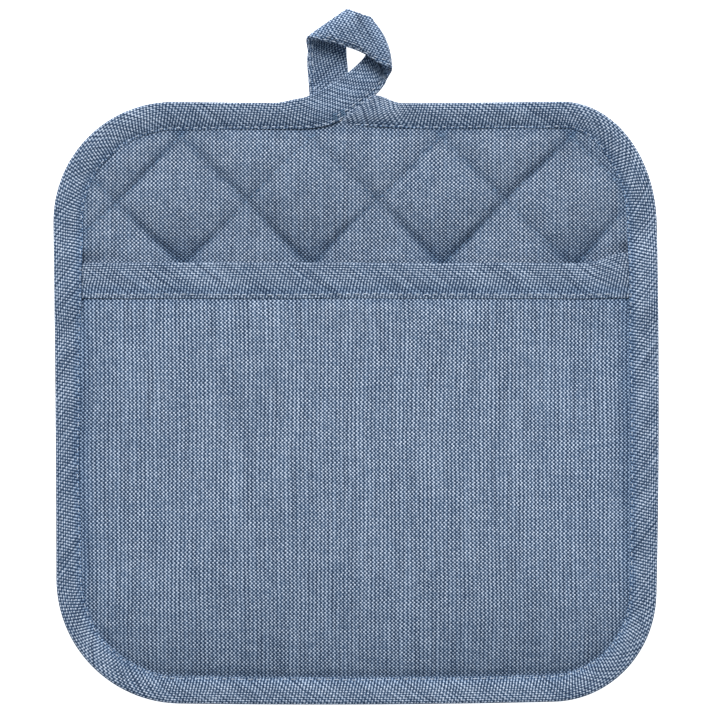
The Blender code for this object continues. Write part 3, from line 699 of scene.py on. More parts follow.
def chambray(name, weave, bias=False, tint=1.0, streaks=1.0):
    """Plain weave of dark warp and pale weft. With u and v counted in threads, sin(pi u) * sin(pi v) is
    positive where the weft floats over the warp and negative where it dives. On straight cloth the warp is
    dented in pairs, so minus cos(pi u) is added. On the bias the same product is a sum of rows across and
    along the tape, cos(2 pi b) - cos(2 pi a), and the rows across it weigh more where the tape is sewn down,
    at a negative s. Slubs shift where the weft shows through, and streaks says how strongly."""
    cloth = Cloth(name)
    s, t = cloth.cloth_place()
    wobble = cloth.noise((s, t), 0.22) - 0.5
    bow = cloth.noise((s, t, 9.0), 0.04) - 0.5
    lean = cloth.noise((s, t, 13.0), 0.02) - 0.5
    if bias:
        a = s / (weave.bias_pitch / MM) + wobble * 0.7
        b = t / (weave.bias_pitch_across / MM) + wobble * 0.5
        u, v = a + b, a - b
        sewn = 1 - s.between(-4.0, 4.0)
        rows = cloth.noise((s, t, 5.0), 0.12).between(0.35, 0.9, False) * 0.6
        rows = rows + abs(t).between(5.0, 9.0) * 0.6 * sewn
        dents = cloth.noise((u * 0.2, v * 0.05, 5.0)).between(0.3, 0.7, False)
        over = (
            (b * (2 * math.pi)).cosine() * (0.44 - rows * 0.32)
            - ((a - b * 0.17) * (2 * math.pi)).cosine() * (rows * 0.18 + 0.36)
            - (u * math.pi).cosine() * (dents * 0.26 + 0.12)
        )
    else:
        u = s / (weave.warp_pitch / MM) + wobble * 0.8 + lean * 3.0
        v = t / (weave.weft_pitch / MM) + wobble * 0.8 + bow * 4.0
        dents = cloth.noise((u * 0.23, v * 0.02, 5.0)).between(0.3, 0.7, False)
        pairs = dents * (0.26 * streaks) + 0.22 * streaks
        over = (u * math.pi).sine() * (v * math.pi).sine() - (u * math.pi).cosine() * pairs
    warp, weft = u.floor(), v.floor()
    # The attribute read here is painted shade: where it is high the weft shows a little less and the yarn is
    # multiplied by the darker, bluer shade tint.
    painted_shade = cloth.node("ShaderNodeAttribute", {"attribute_name": PAINTED_SHADE_NAME}, {}, 2)
    slub = cloth.noise((warp * 5.3, v * 0.022))
    broad = cloth.noise((u * 0.09, v * 0.016, 7.0))
    weft_slub = cloth.noise((u * 0.05, weft * 4.1, 3.0))
    speck = cloth.node("ShaderNodeTexWhiteNoise", {"noise_dimensions": "2D"}, {0: cloth.vector(warp, weft)})
    uneven = weave.slub * streaks
    fill = (slub - 0.5) * uneven + (broad - 0.5) * (uneven * 0.6) + (weft_slub - 0.5) * (uneven * 0.5)
    shown = (over + fill).between(-0.16, 0.74) * (1 - painted_shade * 0.12)
    pale = cloth.mix((speck * 0.5 + weft_slub * 0.5).between(0.1, 0.9), weave.weft_shade, weave.weft)
    dark = cloth.mix((slub * 0.8 + speck * 0.3).between(0.3, 0.8), weave.warp_shade, weave.warp)
    # Painted shade: the yarn tinted darker and bluer where the painted-shade attribute is high.
    shade_tint = cloth.mix(painted_shade, (1.0, 1.0, 1.0), weave.shade_tint)
    yarn = cloth.mix(1.0, cloth.mix(shown, dark, pale), shade_tint, "MULTIPLY")
    cloud = cloth.noise((s, t, 11.0), 0.018, 2.0).between(0.25, 0.75)
    shade = cloth.mix(cloud, (0.97 * tint,) * 3, (1.03 * tint,) * 3)
    painted = cloth.mix(1.0, yarn, shade, "MULTIPLY")
    height = abs(over) + shown * 0.25 + speck * 0.1
    relief = {"Strength": weave.bump, "Distance": weave.thread_height, "Height": height}
    bump = cloth.node("ShaderNodeBump", {}, relief)
    cloth.set(Base_Color=painted, Roughness=0.92, Normal=bump, Sheen_Weight=0.1, Sheen_Roughness=0.5)
    cloth.set(Specular_IOR_Level=0.2)
    return cloth.material


def bias_finish(weave):
    """The tapes' one cloth, made for the first of them."""
    return bpy.data.materials.get("bias_chambray") or chambray("bias_chambray", weave, bias=True, tint=1.03)


def thread_finish(name, triple):
    """Sewing thread: one colour, a little uneven along its length."""
    cloth = Cloth(name)
    uneven = cloth.noise(cloth.node("ShaderNodeTexCoord", {}, {}, 3), 900.0)
    shade = cloth.mix(uneven.between(0.3, 0.7), [c * 0.75 for c in triple], triple)
    cloth.set(Base_Color=shade, Roughness=0.7, Specular_IOR_Level=0.3)
    return cloth.material


# ---- The tapes

# A tape's table has a row for each station: its fold point, its open point and the columns below, which are
# half the gap between the legs at the fold and at the open edges, thickness, depth of the fold, crown of the
# face, bulge of both legs, and how the stitching draws the face in: the press at the open edge and how far it
# reaches, the depth of the stitched groove and its distance from the open edge. The last two are the leaf of
# the loop, which goes up by one through each bend, and 1 where the tape is off the pad, else 0.
COLUMNS = "fold_gap open_gap thick depth crown bulge press reach groove groove_place leaf loose".split()
FOLD, OPEN = slice(0, 3), slice(3, 6)
FOLD_GAP, OPEN_GAP, THICK, DEPTH, CROWN, BULGE, PRESS, REACH, GROOVE, GROOVE_PLACE, LEAF, LOOSE = range(6, 18)
LEG_STEPS = 15
FOLD_STEPS = 15
GROOVE_WIDTH = 0.5
FOLD_POWER = 0.5


def tape_table(folds, opens, **columns):
    """A tape's table from its fold points, open points and other columns, each 0 where it isn't given."""
    columns = [np.broadcast_to(columns.get(name, 0.0), len(folds)) for name in COLUMNS]
    return np.column_stack((folds, opens, *columns))


def ring_levels(x, y):
    """The middle level of the edge binding's section, and half the clear space between its legs."""
    base = ROOT_LIFT * root_lift(x, y)
    top = FRONT_LEG_TOP + MOUTH_LIFT * mouth_share(y, 3.0, 8)
    return (base + top) / 2, (top - base) / 2 - TAPE


def ring_keys():
    """The tape's table round the edge, its two ends drawn to the rulings RING_START and RING_END."""
    (start_x, start_y), start_open = RING_START
    (end_x, end_y), end_open = RING_END
    first, last = start_x - OUTLINE[0, 0], GIRTH - (OUTLINE[0, 0] - end_x)
    along = np.linspace(first, last, RING_STATIONS)
    place, inward = at_outline(along)
    folds = place.copy()
    near_start = smooth((START_HUMP_END - place[:, 0]) / (START_HUMP_END - start_x)) * (along < 40)
    near_end = smooth((place[:, 0] - END_HUMP_START) / (end_x - END_HUMP_START)) * (along > GIRTH - 60)
    folds[:, 1] += near_start * (start_y - place[0, 1]) + near_end * (end_y - place[-1, 1])
    opens = place + inward * (face_width(along) + 0.15 * waver(along, *RING_WIDTH))[:, None]
    skewed = 1 - smooth((along - first) / RING_SKEW_LENGTH)
    opens += skewed[:, None] * (np.array(start_open) - opens[0])
    skewed = smooth((along - last + RING_SKEW_LENGTH) / RING_SKEW_LENGTH)
    opens += skewed[:, None] * (np.array(end_open) - opens[-1])
    fold_level, fold_gap = ring_levels(*folds.T)
    open_level, open_gap = ring_levels(*opens.T)
    press = 0.95 + 0.45 * smooth((opens[:, 1] + 40) / 90)
    press = press * (1 - 0.75 * mouth_share(opens[:, 1], 1.0, 5)) * (1 + 0.12 * waver(along, *RING_PRESS))
    tucked = 0.45 * (1 - smooth((along - first) / 9))
    return tape_table(
        np.column_stack((folds, fold_level - tucked)),
        np.column_stack((opens, open_level - tucked)),
        fold_gap=fold_gap - tucked, open_gap=open_gap - tucked, thick=TAPE, depth=RING_FOLD_DEPTH,
        crown=0.07 + 0.06 * waver(along, *RING_CROWN), press=press, reach=7.0, groove=0.10, groove_place=0.6,
    )


def loop_keys():
    """The tape's table in the loop, each bend worked out as a half turn about its line: level plus radius
    times sine, and sideways radius times one minus cosine."""
    tables = []
    leaf = 0
    for row in LOOP_ROWS:
        fold, edge = np.array([row.fold_x, row.fold_y]), np.array([row.open_x, row.open_y])
        if isinstance(row, Ruling):
            lean, bound = (LOOP_LEAN if leaf == 1 else 0.0), min(row.open_gap, 1.0)
            press, reach = (0.8, 1.8) if leaf == 1 else (0.3 + 0.8 * bound, 2.5 + 3.0 * bound)
            tables.append(tape_table(
                [(*fold, row.level + lean)], [(*edge, row.level - lean)],
                fold_gap=row.fold_gap, open_gap=row.open_gap, thick=row.thick,
                depth=min(row.thick + row.fold_gap, RING_FOLD_DEPTH),
                crown=0.15, press=press, reach=reach, groove=0.15, groove_place=0.9, leaf=leaf, loose=1,
            ))
            continue
        way = unit(edge - fold)
        inward = np.array([way[1], -way[0]]) * row.side
        turned = np.linspace(0, 1, BEND_STATIONS)
        angles = math.pi * (turned - 0.5)
        shift = np.outer(row.radius * (1 - np.cos(angles)), inward)
        shift += np.outer(row.lead * (2 * turned - 1) + row.drift * turned, way)
        level = row.level + row.side * row.radius * np.sin(angles)
        tables.append(tape_table(
            np.column_stack((fold + shift, level)), np.column_stack((edge + shift, level)),
            fold_gap=LOOP_SLIT, open_gap=LOOP_SLIT, thick=LOOP_TAPE, depth=LOOP_TAPE + LOOP_SLIT,
            bulge=-row.bulge * np.cos(angles), press=0.15, reach=2.5, groove_place=0.9,
            leaf=leaf + turned, loose=1,
        ))
        leaf += 1
    return np.vstack(tables)


def along_middle(rows):
    """The distance along the middle of the tape at each station."""
    return distance_along((rows[:, FOLD] + rows[:, OPEN]) / 2)


def tape_stations():
    """The whole tape, ring and loop, at even steps, and the weave's distance along it from where it leaves
    the pad: the loop's cloth is finer, because it is drawn tighter."""
    keys = np.vstack((ring_keys(), loop_keys()))
    distance = along_middle(keys)
    even = np.linspace(0, distance[-1], int(distance[-1] / TAPE_STEP))
    rows = soften(between_rows(even, distance, keys), 0.9 / TAPE_STEP)
    along = running_total(np.diff(along_middle(rows)) * (1 + LOOP_FINER * rows[1:, LOOSE]))
    return rows, along - along[(rows[:, LOOSE] > 0.5).argmax()]


def mouth_rows(pocket):
    """The mouth binding's table."""
    ends = [edge_at_height(MOUTH_ENDS, side) for side in (-1, 1)]
    x = np.linspace(*[ring_edge(end, end, PANEL_INSET, 1)[0, 0] for end in ends], MOUTH_STATIONS)
    foot = np.full(len(x), MOUTH_FOOT)
    middle, share = panel_middle(x, foot, pocket)[:2]
    panel = panel_thickness(foot, share)
    steep = np.minimum(np.hypot(1, np.gradient(middle, x)), 2.0)
    tape = 0.4 + 0.15 * share
    clear = panel / 2 + 0.15 * steep
    press = 0.6 * share
    return tape_table(
        np.column_stack((x, mouth_crest(x) + 0.18 * waver(x, *CREST_WAVES), middle)),
        np.column_stack((x, MOUTH_FOOT + 0.18 * waver(x, *FOOT_WAVES), middle)),
        fold_gap=clear, open_gap=clear - 0.1 * steep + 0.25 * press, thick=tape, depth=tape + 0.1,
        crown=0.03 * share, press=press, reach=6.0, groove=0.14 * share, groove_place=2.2,
    )


def leg_levels(rows, share, away, side):
    """One leg's outer and inner levels off the tape's middle, where share runs from 0 at the open edge to 1
    at the fold and away is the distance from the open edge: the gap and thickness, the face's crown as a
    parabola, less the press, which fades from the open edge, and the stitched groove, a bell curve. The back
    leg has only the gap and thickness, except in the loop's upper leaf, where it is the face."""
    gap = rows[:, OPEN_GAP, None] + (rows[:, FOLD_GAP] - rows[:, OPEN_GAP])[:, None] * share
    arch = 4 * share * (1 - share)
    crown, bulge = rows[:, CROWN, None] * arch, rows[:, BULGE, None] * arch
    press = rows[:, PRESS, None] * (1 - np.minimum(away / rows[:, REACH, None], 1)) ** 1.7
    groove = rows[:, GROOVE, None] * bell(away - rows[:, GROOVE_PLACE, None], GROOVE_WIDTH)
    drawn = 1.0 if side > 0 else 1.0 * (np.abs(rows[:, LEAF, None] - 1) < 0.5)
    outer = gap + rows[:, THICK, None] + drawn * (crown - press - groove)
    inner = gap + drawn * (0.7 * crown - 0.25 * press)
    return side * outer + bulge, side * inner + bulge


def tape_width(rows):
    """The distance from fold to open edge at each station."""
    return np.linalg.norm(rows[:, OPEN] - rows[:, FOLD], axis=1)


def leg(rows, side):
    """One leg from its half-round open edge to the fold: how far its points are from the fold, and their
    levels off the tape's middle on the outer and on the inner face."""
    share = np.tile(np.linspace(0, 1, LEG_STEPS) ** 1.5, (len(rows), 1))
    width, depth = tape_width(rows)[:, None], rows[:, DEPTH, None]
    outer, inner = leg_levels(rows, share, share * (width - depth), side)
    middle, half = (outer[:, :1] + inner[:, :1]) / 2, (outer[:, :1] - inner[:, :1]) / 2
    x = depth + (width - np.abs(half) - depth) * (1 - share)
    turns = np.radians([22, 67])[None]
    edge_x = width - np.abs(half) * (1 - np.cos(turns))
    outer = np.hstack((middle + half * np.sin(turns), outer))
    inner = np.hstack((middle - half * np.sin(turns), inner))
    return np.hstack((edge_x, x)), outer, inner


def both_faces(outer, inner):
    """The outer face's values, then the inner face's the other way."""
    return np.hstack((outer, inner[:, ::-1]))


def tape_section(rows):
    """The folded tape's section at each station as points (across from the fold, off the middle): its outer
    face from the front leg's open edge over the fold to the back leg's, then its inner face the other way.
    The fold is half a squared circle, sine and cosine to a power below one. Also the distance round the outer
    face from the fold, which is the cloth's second coordinate on both faces."""
    front_x, front_outer, front_inner = leg(rows, 1)
    back_x, back_outer, back_inner = leg(rows, -1)
    angles = np.radians(np.linspace(90, -90, FOLD_STEPS))[None, 1:-1]
    gap, thick, depth = rows[:, FOLD_GAP, None], rows[:, THICK, None], rows[:, DEPTH, None]
    squared = np.sign(angles) * np.abs(np.sin(angles)) ** FOLD_POWER
    round_fold = thick + np.maximum(depth - thick, 0.1) * (1 - np.cos(angles))
    outer_x = np.hstack((front_x, depth * (1 - np.cos(angles) ** FOLD_POWER), back_x[:, ::-1]))
    outer_h = np.hstack((front_outer, (gap + thick) * squared, back_outer[:, ::-1]))
    inner_x = np.hstack((front_x, round_fold, back_x[:, ::-1]))
    inner_h = np.hstack((front_inner, gap * np.sin(angles), back_inner[:, ::-1]))
    girth = np.hstack((0 * outer_x[:, :1], np.cumsum(np.hypot(np.diff(outer_x), np.diff(outer_h)), axis=1)))
    girth -= girth[:, girth.shape[1] // 2, None]
    girth *= 1 + LOOP_FINER * rows[:, LOOSE, None]
    section = np.stack((both_faces(outer_x, inner_x), both_faces(outer_h, inner_h)), axis=-1)
    return section, both_faces(girth, girth)


def tape_painted_shade(rows, girth, bare):
    """The painted shade on the tape's cloth: a little all along the loop, more in its bends, and most towards
    the stitched open edges, from bare millimetres inside them, more so up the sides. A painted dark line runs
    along the loop's edges, where its stitches are."""
    reach = girth.max(axis=1, keepdims=True) - np.abs(girth)
    loose = rows[:, LOOSE, None]
    line = 0.5 * loose * bell(reach - 1.5, 0.4)
    bent = soften(1 - 2 * np.abs(np.mod(rows[:, LEAF, None], 1) - 0.5), 3.0)
    upright = np.abs(rows[:, 3, None] - rows[:, 0, None]) / tape_width(rows)[:, None]
    hem = (0.55 + 0.3 * upright) * (1 - smooth((reach - bare) / 3.4)) * smooth((reach - bare) / 0.6 + 1)
    return np.clip(0.2 * loose + 0.55 * bent * loose + hem * (1 - loose) + line, 0, 1)


def tape_axes(rows):
    """At each station the direction from fold to open edge, and the one square to it and to the run."""
    across = unit(rows[:, OPEN] - rows[:, FOLD])
    return across, unit(np.cross(across, np.gradient((rows[:, FOLD] + rows[:, OPEN]) / 2, axis=0)))


def fold_tape(name, rows, axes, along, bare, weave):
    """A folded tape's cloth, with painted shade towards its edges from bare millimetres inside them."""
    section, girth = tape_section(rows)
    painted_shade = tape_painted_shade(rows, girth, bare)
    return sweep(name, rows[:, FOLD], *axes, section, along, girth, bias_finish(weave), painted_shade)


def lay_flat(mesh, leaf):
    """Where the loop's upper leaf lies over, the cloth is flat and its rulings fan out, so there the UV map
    takes the places themselves, turned, and not the distance along the tape. On the last leaf the cloth's two
    directions are swapped, because the tape is pieced there."""
    corner = read(mesh.loops, "vertex_index", np.int32)
    layer = mesh.uv_layers[UV_NAME]
    uv = read(layer.data, "uv", width=2)
    upper, last = np.zeros((2, len(corner)), bool)
    corners = 4 * len(mesh.vertices) // len(leaf)
    upper[:corners * (len(leaf) - 1)] = np.repeat((leaf[:-1] > 0.5) & (leaf[:-1] < 1.5), corners)
    last[:corners * (len(leaf) - 1)] = np.repeat(leaf[:-1] >= 1.5, corners)
    x, y = read(mesh.vertices, "co", width=3)[corner[upper], :2].T / MM
    turn = math.radians(20)
    sine, cosine = math.sin(turn), math.cos(turn)
    flat = np.column_stack((y * sine - x * cosine, -x * sine - y * cosine))
    uv[upper] = (1 + LOOP_FINER) * flat + np.array([500.0, 0.0])
    uv[last] = np.column_stack((500 + uv[last, 1], uv[last, 0]))
    layer.data.foreach_set("uv", uv.ravel())


# ---- Stitches

EDGE_SEAM, LOOP_SEAM, MOUTH_SEAM = 0.65, 1.9, 1.35
BAR_TACK, BAR_START, BAR_STEP, BAR_ROWS = -4.0, 0.8, 0.6, 4
STITCH_SHARES = np.array([-0.5, -0.44, -0.25, 0.0, 0.25, 0.44, 0.5])
STITCH_GIRTHS = np.array([0.35, 0.8, 1.0, 1.05, 1.0, 0.8, 0.35])


def on_tape(rows, from_open, side):
    """Places on a tape's face, from_open millimetres from its open edge, and the way off the face there."""
    across, off = tape_axes(rows)
    width = tape_width(rows)[:, None]
    away = np.full((len(rows), 1), from_open)
    height = leg_levels(rows, away / (width - rows[:, DEPTH, None]), away, side)[0]
    return rows[:, FOLD] + across * (width - from_open) + off * height, off * side


def inside_outline(x, y):
    """Whether places lie inside the outline: an odd number of its sides is met on the way right."""
    a, b = OUTLINE, np.roll(OUTLINE, -1, axis=0)
    spans = (a[:, 1] > y[:, None]) != (b[:, 1] > y[:, None])
    meets = a[:, 0] + (y[:, None] - a[:, 1]) * (b[:, 0] - a[:, 0]) / (b[:, 1] - a[:, 1] + 1e-9)
    return ((x[:, None] < meets) & spans).sum(axis=1) % 2 == 1


def seam_paths(quilt, side):
    """The quilting seams on the pad's upper (side 1) or lower face: straight lines, moved against the wander
    that seam_distances adds, at the level of the cloth. The pocket hides the upper ones below its mouth."""
    crossing_x, crossing_y = quilt.crossing_x / MM, quilt.crossing_y / MM
    paths = []
    for slant in ("\\", "/"):
        for number in SEAM_NUMBERS:
            still = np.full(len(SEAM_RUN), number * (quilt.diamond / MM / math.sqrt(2)))
            falling, climbing = (still, SEAM_RUN) if slant == "\\" else (SEAM_RUN, still)
            u, v = (falling - climbing) / math.sqrt(2), (falling + climbing) / math.sqrt(2)
            x, y = u + crossing_x, v + crossing_y
            for _ in range(3):
                stray_x, stray_y = wander(x, y)
                x, y = u + crossing_x - stray_x, v + crossing_y - stray_y
            inset, along = from_edge(x, y)
            kept = inside_outline(x, y) & (inset > face_width(along) + 0.6)
            kept &= (side < 0) | (y > MOUTH_TOP + 0.6)
            if kept.sum() < 8:
                continue
            x, y, inset, along = x[kept], y[kept], inset[kept], along[kept]
            level = pad_levels(x, y, inset, along, quilt)[0 if side > 0 else 1]
            up = np.tile([0.0, 0.0, float(side)], (len(x), 1))
            paths.append((np.column_stack((x, y, level)), up))
    return paths


def stitch_row(path, up, stitch, sink):
    """The points of a row of thread stitches on a path, by stitch, ring and corner. Each is a six-sided
    strand whose ends dip into the cloth: its height falls as the fourth power of the distance from its
    middle."""
    lengths = distance_along(path)
    pitch, long, thick = stitch.pitch / MM, stitch.length / MM, stitch.thread / MM / 2
    middles = np.arange(pitch / 2, lengths[-1] - pitch / 2, pitch)
    at = middles[:, None] + STITCH_SHARES * long
    centre, lift = between_rows(at, lengths, path), unit(between_rows(at, lengths, up))
    side = np.cross(unit(np.gradient(centre, axis=1)), lift)
    uneven = 0.07 * waver(middles, *STITCH_WAVES)[:, None]
    height = thick * 0.7 - sink + uneven - (2 * STITCH_SHARES) ** 4 * thick * 1.7
    centre = centre + lift * height[..., None] + side * uneven[..., None]
    angles = np.radians(np.arange(6) * 60)[:, None]
    ring = side[:, :, None] * np.cos(angles) + lift[:, :, None] * np.sin(angles)
    return centre[:, :, None] + ring * (thick * STITCH_GIRTHS)[:, None, None]


def sew(name, slot_name, material, paths, stitch, sink=0.1):
    """One piece of all the stitches on some paths, each of places and of the ways off the cloth there."""
    points = np.concatenate([stitch_row(path, up, stitch, sink) for path, up in paths])
    index = np.arange(points.size // 3).reshape(points.shape[:3])
    here, there = index[:, :-1], index[:, 1:]
    sides = np.stack((here, np.roll(here, -1, 2), np.roll(there, -1, 2), there), axis=-1).reshape(-1, 4)
    halves = ([0, 1, 2, 3], [0, 3, 4, 5])
    caps = [end[:, half] for end in (index[:, 0, ::-1], index[:, -1]) for half in halves]
    finish_piece(add_piece(name, points.reshape(-1, 3), np.vstack([sides] + caps), None, material), slot_name)


def finish_piece(piece, slot_name, *nodes):
    """Rides a piece on the pot holder and hides the nodes that it stands for. Its finish is not named:
    slot_name is not used.
    """
    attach(piece, "root")
    if nodes:
        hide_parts(*nodes)


# ---- Settings


def length(name, text, value):
    """A length in metres."""
    return bpy.props.FloatProperty(
        name=name, description=text, default=value, subtype="DISTANCE", unit="LENGTH", precision=5
    )


def amount(name, text, value):
    """A share, from 0 to 1."""
    return bpy.props.FloatProperty(name=name, description=text, default=value, subtype="FACTOR")


def paint(name, text, value):
    """A colour, in linear light."""
    return bpy.props.FloatVectorProperty(name=name, description=text, default=value, size=3, subtype="COLOR")


class WeaveSettings(bpy.types.PropertyGroup):
    warp: paint("Warp", "Navy warp yarn where it bulges", (0.034, 0.071, 0.139))
    warp_shade: paint("Warp in shade", "Navy warp yarn where it is packed", (0.013, 0.034, 0.078))
    weft: paint("Weft", "Pale weft yarn", (0.60, 0.69, 0.83))
    weft_shade: paint("Weft in shade", "Pale weft yarn where it is thin", (0.32, 0.41, 0.55))
    # Painted shade: the colour that the cloth is multiplied by in creases, by the bindings and in the loop's
    # shaded parts.
    shade_tint: paint("Packed", "Tint of the cloth where a seam packs it", (0.54, 0.70, 0.85))
    warp_pitch: length("Warp pitch", "From one warp yarn to the next", 0.00067)
    weft_pitch: length("Weft pitch", "From one weft yarn to the next", 0.00063)
    bias_pitch: length("Bias pitch along", "From one float to the next, along the tape", 0.00103)
    bias_pitch_across: length("Bias pitch across", "From one float to the next, across the tape", 0.00079)
    slub: amount("Slubs", "How uneven the yarns are", 0.48)
    bump: amount("Relief", "How strongly the yarns stand out", 0.5)
    thread_height: length("Yarn height", "How far a float stands off the cloth", 0.00018)


class QuiltSettings(bpy.types.PropertyGroup):
    diamond: length("Diamond", "From one seam crossing to the next, across or up", 0.0436)
    crossing_x: length("Crossing, across", "Where two seams cross", 0.0067)
    crossing_y: length("Crossing, up", "Where two seams cross", 0.0520)
    crease: length("Crease", "How wide a seam's crease is above the seam", 0.0036)
    foot: length("Foot", "How wide a seam's crease is below the seam", 0.0070)
    seam_level: length("Seam level", "Height of the face at a seam", 0.0034)
    tuft_level: length("Tuft level", "Height of the face in a diamond", 0.0066)
    dive: length("Dive", "How far the face drops where it goes into the pocket", 0.0002)
    brow: length("Brow", "How far the face drops towards the top binding", 0.0004)


class PocketSettings(bpy.types.PropertyGroup):
    level: length("Level", "Height of the panel's middle", 0.0118)
    mouth_level: length("Mouth level", "Height of the panel at its mouth", 0.0122)
    rise: length("Rise", "How soon the panel climbs off its seams at first", 0.0010)
    swell: length("Swell", "How far in from its seams the panel goes on climbing", 0.0180)


class StitchSettings(bpy.types.PropertyGroup):
    pitch: length("Pitch", "From one stitch to the next", 0.0029)
    length: length("Length", "Length of the thread that shows", 0.0018)
    thread: length("Thread", "Thickness of the thread", 0.00030)
    colour: paint("Thread", "Colour of the thread in the bindings", (0.48, 0.56, 0.68))
    quilting: paint("Quilting thread", "Colour of the thread in the quilting", (0.13, 0.23, 0.37))


class StageSettings(bpy.types.PropertyGroup):
    floor: paint("Floor", "Colour of the floor", (0.93, 0.93, 0.93))
    key: bpy.props.FloatProperty(name="Key", description="Power of the softbox above the loop", default=152.0,
                                 unit="POWER")
    key_colour: paint("Key colour", "Colour of the softbox", (1.0, 0.967, 0.935))
    sky: amount("Surround", "Light from all round", 0.38)
    sky_colour: paint("Surround colour", "Colour of the light from all round", (0.82, 0.92, 1.0))
    glow: amount("Floor glow", "How far the floor is lit from below, as a light table is", 0.95)
    distance: length("Camera distance", "How far above the surface the camera is", 2.0)


SETTINGS = {
    "pot_holder_weave": WeaveSettings,
    "pot_holder_quilt": QuiltSettings,
    "pot_holder_pocket": PocketSettings,
    "pot_holder_stitch": StitchSettings,
    "pot_holder_stage": StageSettings,
}


# ---- Pieces


class PotHolderPad(bpy.types.Operator):
    """Make the quilted pad"""

    bl_idname = "pot_holder.pad"
    bl_label = "Quilted pad"

    def execute(self, context):
        scene = context.scene
        quilt = scene.pot_holder_quilt
        top_right, bottom_right, bottom_left, top_left = [along_of_corner(corner) for corner in CORNERS]
        bottom = ring_edge(bottom_left, bottom_right, pad_inset, PAD_STEPS)
        right = ring_edge(bottom_right, top_right, pad_inset, PAD_STEPS)
        top = ring_edge(top_left, top_right + GIRTH, pad_inset, PAD_STEPS)
        left = ring_edge(bottom_left, top_left, pad_inset, PAD_STEPS)
        x, y = patch(bottom, right, top, left)
        inset, along = from_edge(x, y)
        upper, lower, painted_shade = pad_levels(x, y, inset, along, quilt)
        seam = np.minimum(*np.abs(seam_distances(x, y, quilt)[:2]))
        held = np.maximum(1 - smooth((seam - 1.2) / 2), 1 - smooth((inset - face_width(along) - 1) / 3))
        upper = upper + puff(x, y, upper, lower, held)
        # Painted shade: tint 0.88 makes the pad a darker copy of the chambray that the pocket and tapes use
        # at 1.03.
        material = chambray("quilted_chambray", scene.pot_holder_weave, tint=0.88, streaks=0.45)
        piece = slab("quilted_cloth", x, y, upper, lower, painted_shade, material)
        finish_piece(piece, "quilted_chambray", "quilted_pad")
        return {"FINISHED"}


class PotHolderPocket(bpy.types.Operator):
    """Make the pocket panel"""

    bl_idname = "pot_holder.pocket"
    bl_label = "Pocket panel"

    def execute(self, context):
        scene = context.scene
        bottom_right, bottom_left = [along_of_corner(corner) for corner in CORNERS[1:3]]
        right_end, left_end = [edge_at_height(PANEL_TOP_EDGE, side) for side in (1, -1)]
        bottom = ring_edge(bottom_left, bottom_right, PANEL_INSET, PANEL_COLUMNS)
        right = ring_edge(bottom_right, right_end, PANEL_INSET, PANEL_ROWS)
        left = ring_edge(bottom_left, left_end, PANEL_INSET, PANEL_ROWS)
        x, y = patch(bottom, right, np.linspace(left[-1], right[-1], PANEL_COLUMNS), left)
        middle, share, painted_shade = panel_middle(x, y, scene.pot_holder_pocket)
        half = panel_thickness(y, share) / 2
        material = chambray("pocket_chambray", scene.pot_holder_weave, tint=1.03, streaks=0.78)
        piece = slab("pocket_cloth", x, y, middle + half, middle - half, painted_shade, material)
        finish_piece(piece, "pocket_chambray", "pocket_panel")
        return {"FINISHED"}


class PotHolderMouth(bpy.types.Operator):
    """Make the bias tape over the pocket's mouth"""

    bl_idname = "pot_holder.mouth"
    bl_label = "Mouth binding"

    def execute(self, context):
        scene = context.scene
        rows = mouth_rows(scene.pot_holder_pocket)
        axes = [np.tile(way, (len(rows), 1)) for way in ([0.0, -1.0, 0.0], [0.0, 0.0, 1.0])]
        piece = fold_tape("mouth_tape", rows, axes, rows[:, 0] - 200, 1.9, scene.pot_holder_weave)
        finish_piece(piece, "bias_tape", "pocket_binding")
        return {"FINISHED"}


class PotHolderTape(bpy.types.Operator):
    """Make the bias tape round the edge and on into the hanging loop"""

    bl_idname = "pot_holder.tape"
    bl_label = "Edge and loop tape"

    def execute(self, context):
        weave = context.scene.pot_holder_weave
        rows, along = tape_stations()
        piece = fold_tape("edge_and_loop_tape", rows, tape_axes(rows), along, 0.0, weave)
        lay_flat(piece.data, rows[:, LEAF])
        finish_piece(piece, "bias_tape", "edge_binding", "hanging_loop")
        return {"FINISHED"}


class PotHolderStitches(bpy.types.Operator):
    """Sew the bindings and the quilting"""

    bl_idname = "pot_holder.stitches"
    bl_label = "Stitches"

    def execute(self, context):
        scene = context.scene
        stitch = scene.pot_holder_stitch
        thread = thread_finish("sewing_thread", stitch.colour)
        rows = tape_stations()[0]
        mouth = mouth_rows(scene.pot_holder_pocket)[9:-9]
        loop = rows[rows[:, LOOSE] > 0.5][6:-2]
        for name, side, sink in (("front", 1, 0.1), ("back", -1, 0.2)):
            edge = [on_tape(rows, EDGE_SEAM, side), on_tape(loop, LOOP_SEAM, side)]
            sew(f"edge_stitches_{name}", "bias_tape", thread, edge, stitch, sink)
            sew(f"mouth_stitches_{name}", "bias_tape", thread, [on_tape(mouth, MOUTH_SEAM, side)], stitch)
        quilting = thread_finish("quilting_thread", stitch.quilting)
        for name, side in (("front", 1), ("back", -1)):
            seams = seam_paths(scene.pot_holder_quilt, side)
            sew(f"quilting_{name}", "quilted_chambray", quilting, seams, stitch, 0.12)
        lower_leaf = (rows[:, LEAF] < 0.4) & (rows[:, LOOSE] > 0.5)
        bar = np.where(lower_leaf, np.abs(rows[:, 3] - BAR_TACK), 1e9).argmin()
        tack = [on_tape(rows[bar - 3:bar + 4], BAR_START + BAR_STEP * k, 1) for k in range(BAR_ROWS)]
        sew("bar_tack", "bias_tape", quilting, tack, stitch, 0.02)
        return {"FINISHED"}


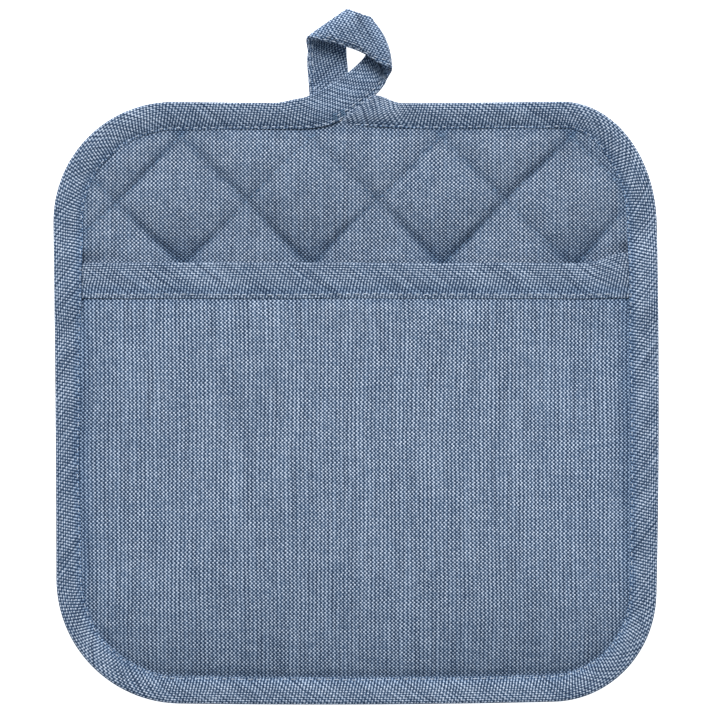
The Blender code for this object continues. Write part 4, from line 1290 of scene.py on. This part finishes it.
class PotHolderStage(bpy.types.Operator):
    """Set the floor, the lights and the camera"""

    bl_idname = "pot_holder.stage"
    bl_label = "Stage"

    def execute(self, context):
        scene = context.scene
        stage = scene.pot_holder_stage
        scene.view_settings.view_transform = "Standard"
        surface = Cloth("studio_floor")
        surface.set(Base_Color=stage.floor, Roughness=0.9, Specular_IOR_Level=0.0)
        surface.set(Emission_Color=(1, 1, 1), Emission_Strength=stage.glow)
        square = ((-1, -1), (1, -1), (1, 1), (-1, 1))
        corners = [(x * FLOOR_HALF, y * FLOOR_HALF, FLOOR_LEVEL) for x, y in square]
        add_piece("studio_floor", corners, [(0, 1, 2, 3)], None, surface.material)
        world = bpy.data.worlds.new("studio")
        world.use_nodes = True
        background = world.node_tree.nodes["Background"]
        background.inputs["Color"].default_value = (*stage.sky_colour, 1.0)
        background.inputs["Strength"].default_value = stage.sky
        scene.world = world
        softbox("key", (-0.10, 2.40, 1.80), 1.5, stage.key, stage.key_colour)
        camera = bpy.data.cameras.new("camera")
        camera.sensor_width = 36.0
        camera.lens = camera.sensor_width * (stage.distance / MM - PHOTO_LEVEL) / PHOTO_WIDTH
        camera.clip_start, camera.clip_end = 0.05, 20.0
        seen = bpy.data.objects.new("camera", camera)
        seen.location = (PHOTO_CENTRE[0] * MM, PHOTO_CENTRE[1] * MM, stage.distance)
        scene.collection.objects.link(seen)
        scene.camera = seen
        return {"FINISHED"}


def softbox(name, place, size, power, tone):
    """A square area light at place, turned to the origin."""
    light = bpy.data.lights.new(name, "AREA")
    light.shape, light.size, light.energy, light.color = "SQUARE", size, power, tone
    lamp = bpy.data.objects.new(name, light)
    x, y, z = place
    lamp.location = place
    lamp.rotation_euler = (math.acos(z / math.hypot(x, y, z)), 0.0, math.atan2(y, x) + math.pi / 2)
    bpy.context.scene.collection.objects.link(lamp)


STEPS = (PotHolderPad, PotHolderPocket, PotHolderMouth, PotHolderTape, PotHolderStitches, PotHolderStage)


class PotHolderPanel(bpy.types.Panel):
    """The pot holder's steps"""

    bl_idname = "VIEW3D_PT_pot_holder"
    bl_label = "Pocket pot holder"
    bl_space_type = "VIEW_3D"
    bl_region_type = "UI"
    bl_category = "Pot holder"

    def draw(self, context):
        for name, group in SETTINGS.items():
            box = self.layout.box()
            settings = getattr(context.scene, name)
            for key in group.__annotations__:
                box.prop(settings, key)
        for step in STEPS:
            self.layout.operator(step.bl_idname)


def register():
    for group in SETTINGS.values():
        bpy.utils.register_class(group)
    for name, group in SETTINGS.items():
        setattr(bpy.types.Scene, name, bpy.props.PointerProperty(type=group))
    for item in STEPS + (PotHolderPanel,):
        bpy.utils.register_class(item)


def unregister():
    for item in reversed(STEPS + (PotHolderPanel,)):
        bpy.utils.unregister_class(item)
    for name in SETTINGS:
        delattr(bpy.types.Scene, name)
    for group in reversed(list(SETTINGS.values())):
        bpy.utils.unregister_class(group)


def main():
    register()
    for step in STEPS:
        group, name = step.bl_idname.split(".")
        getattr(getattr(bpy.ops, group), name)()


if __name__ == "__main__":
    main()
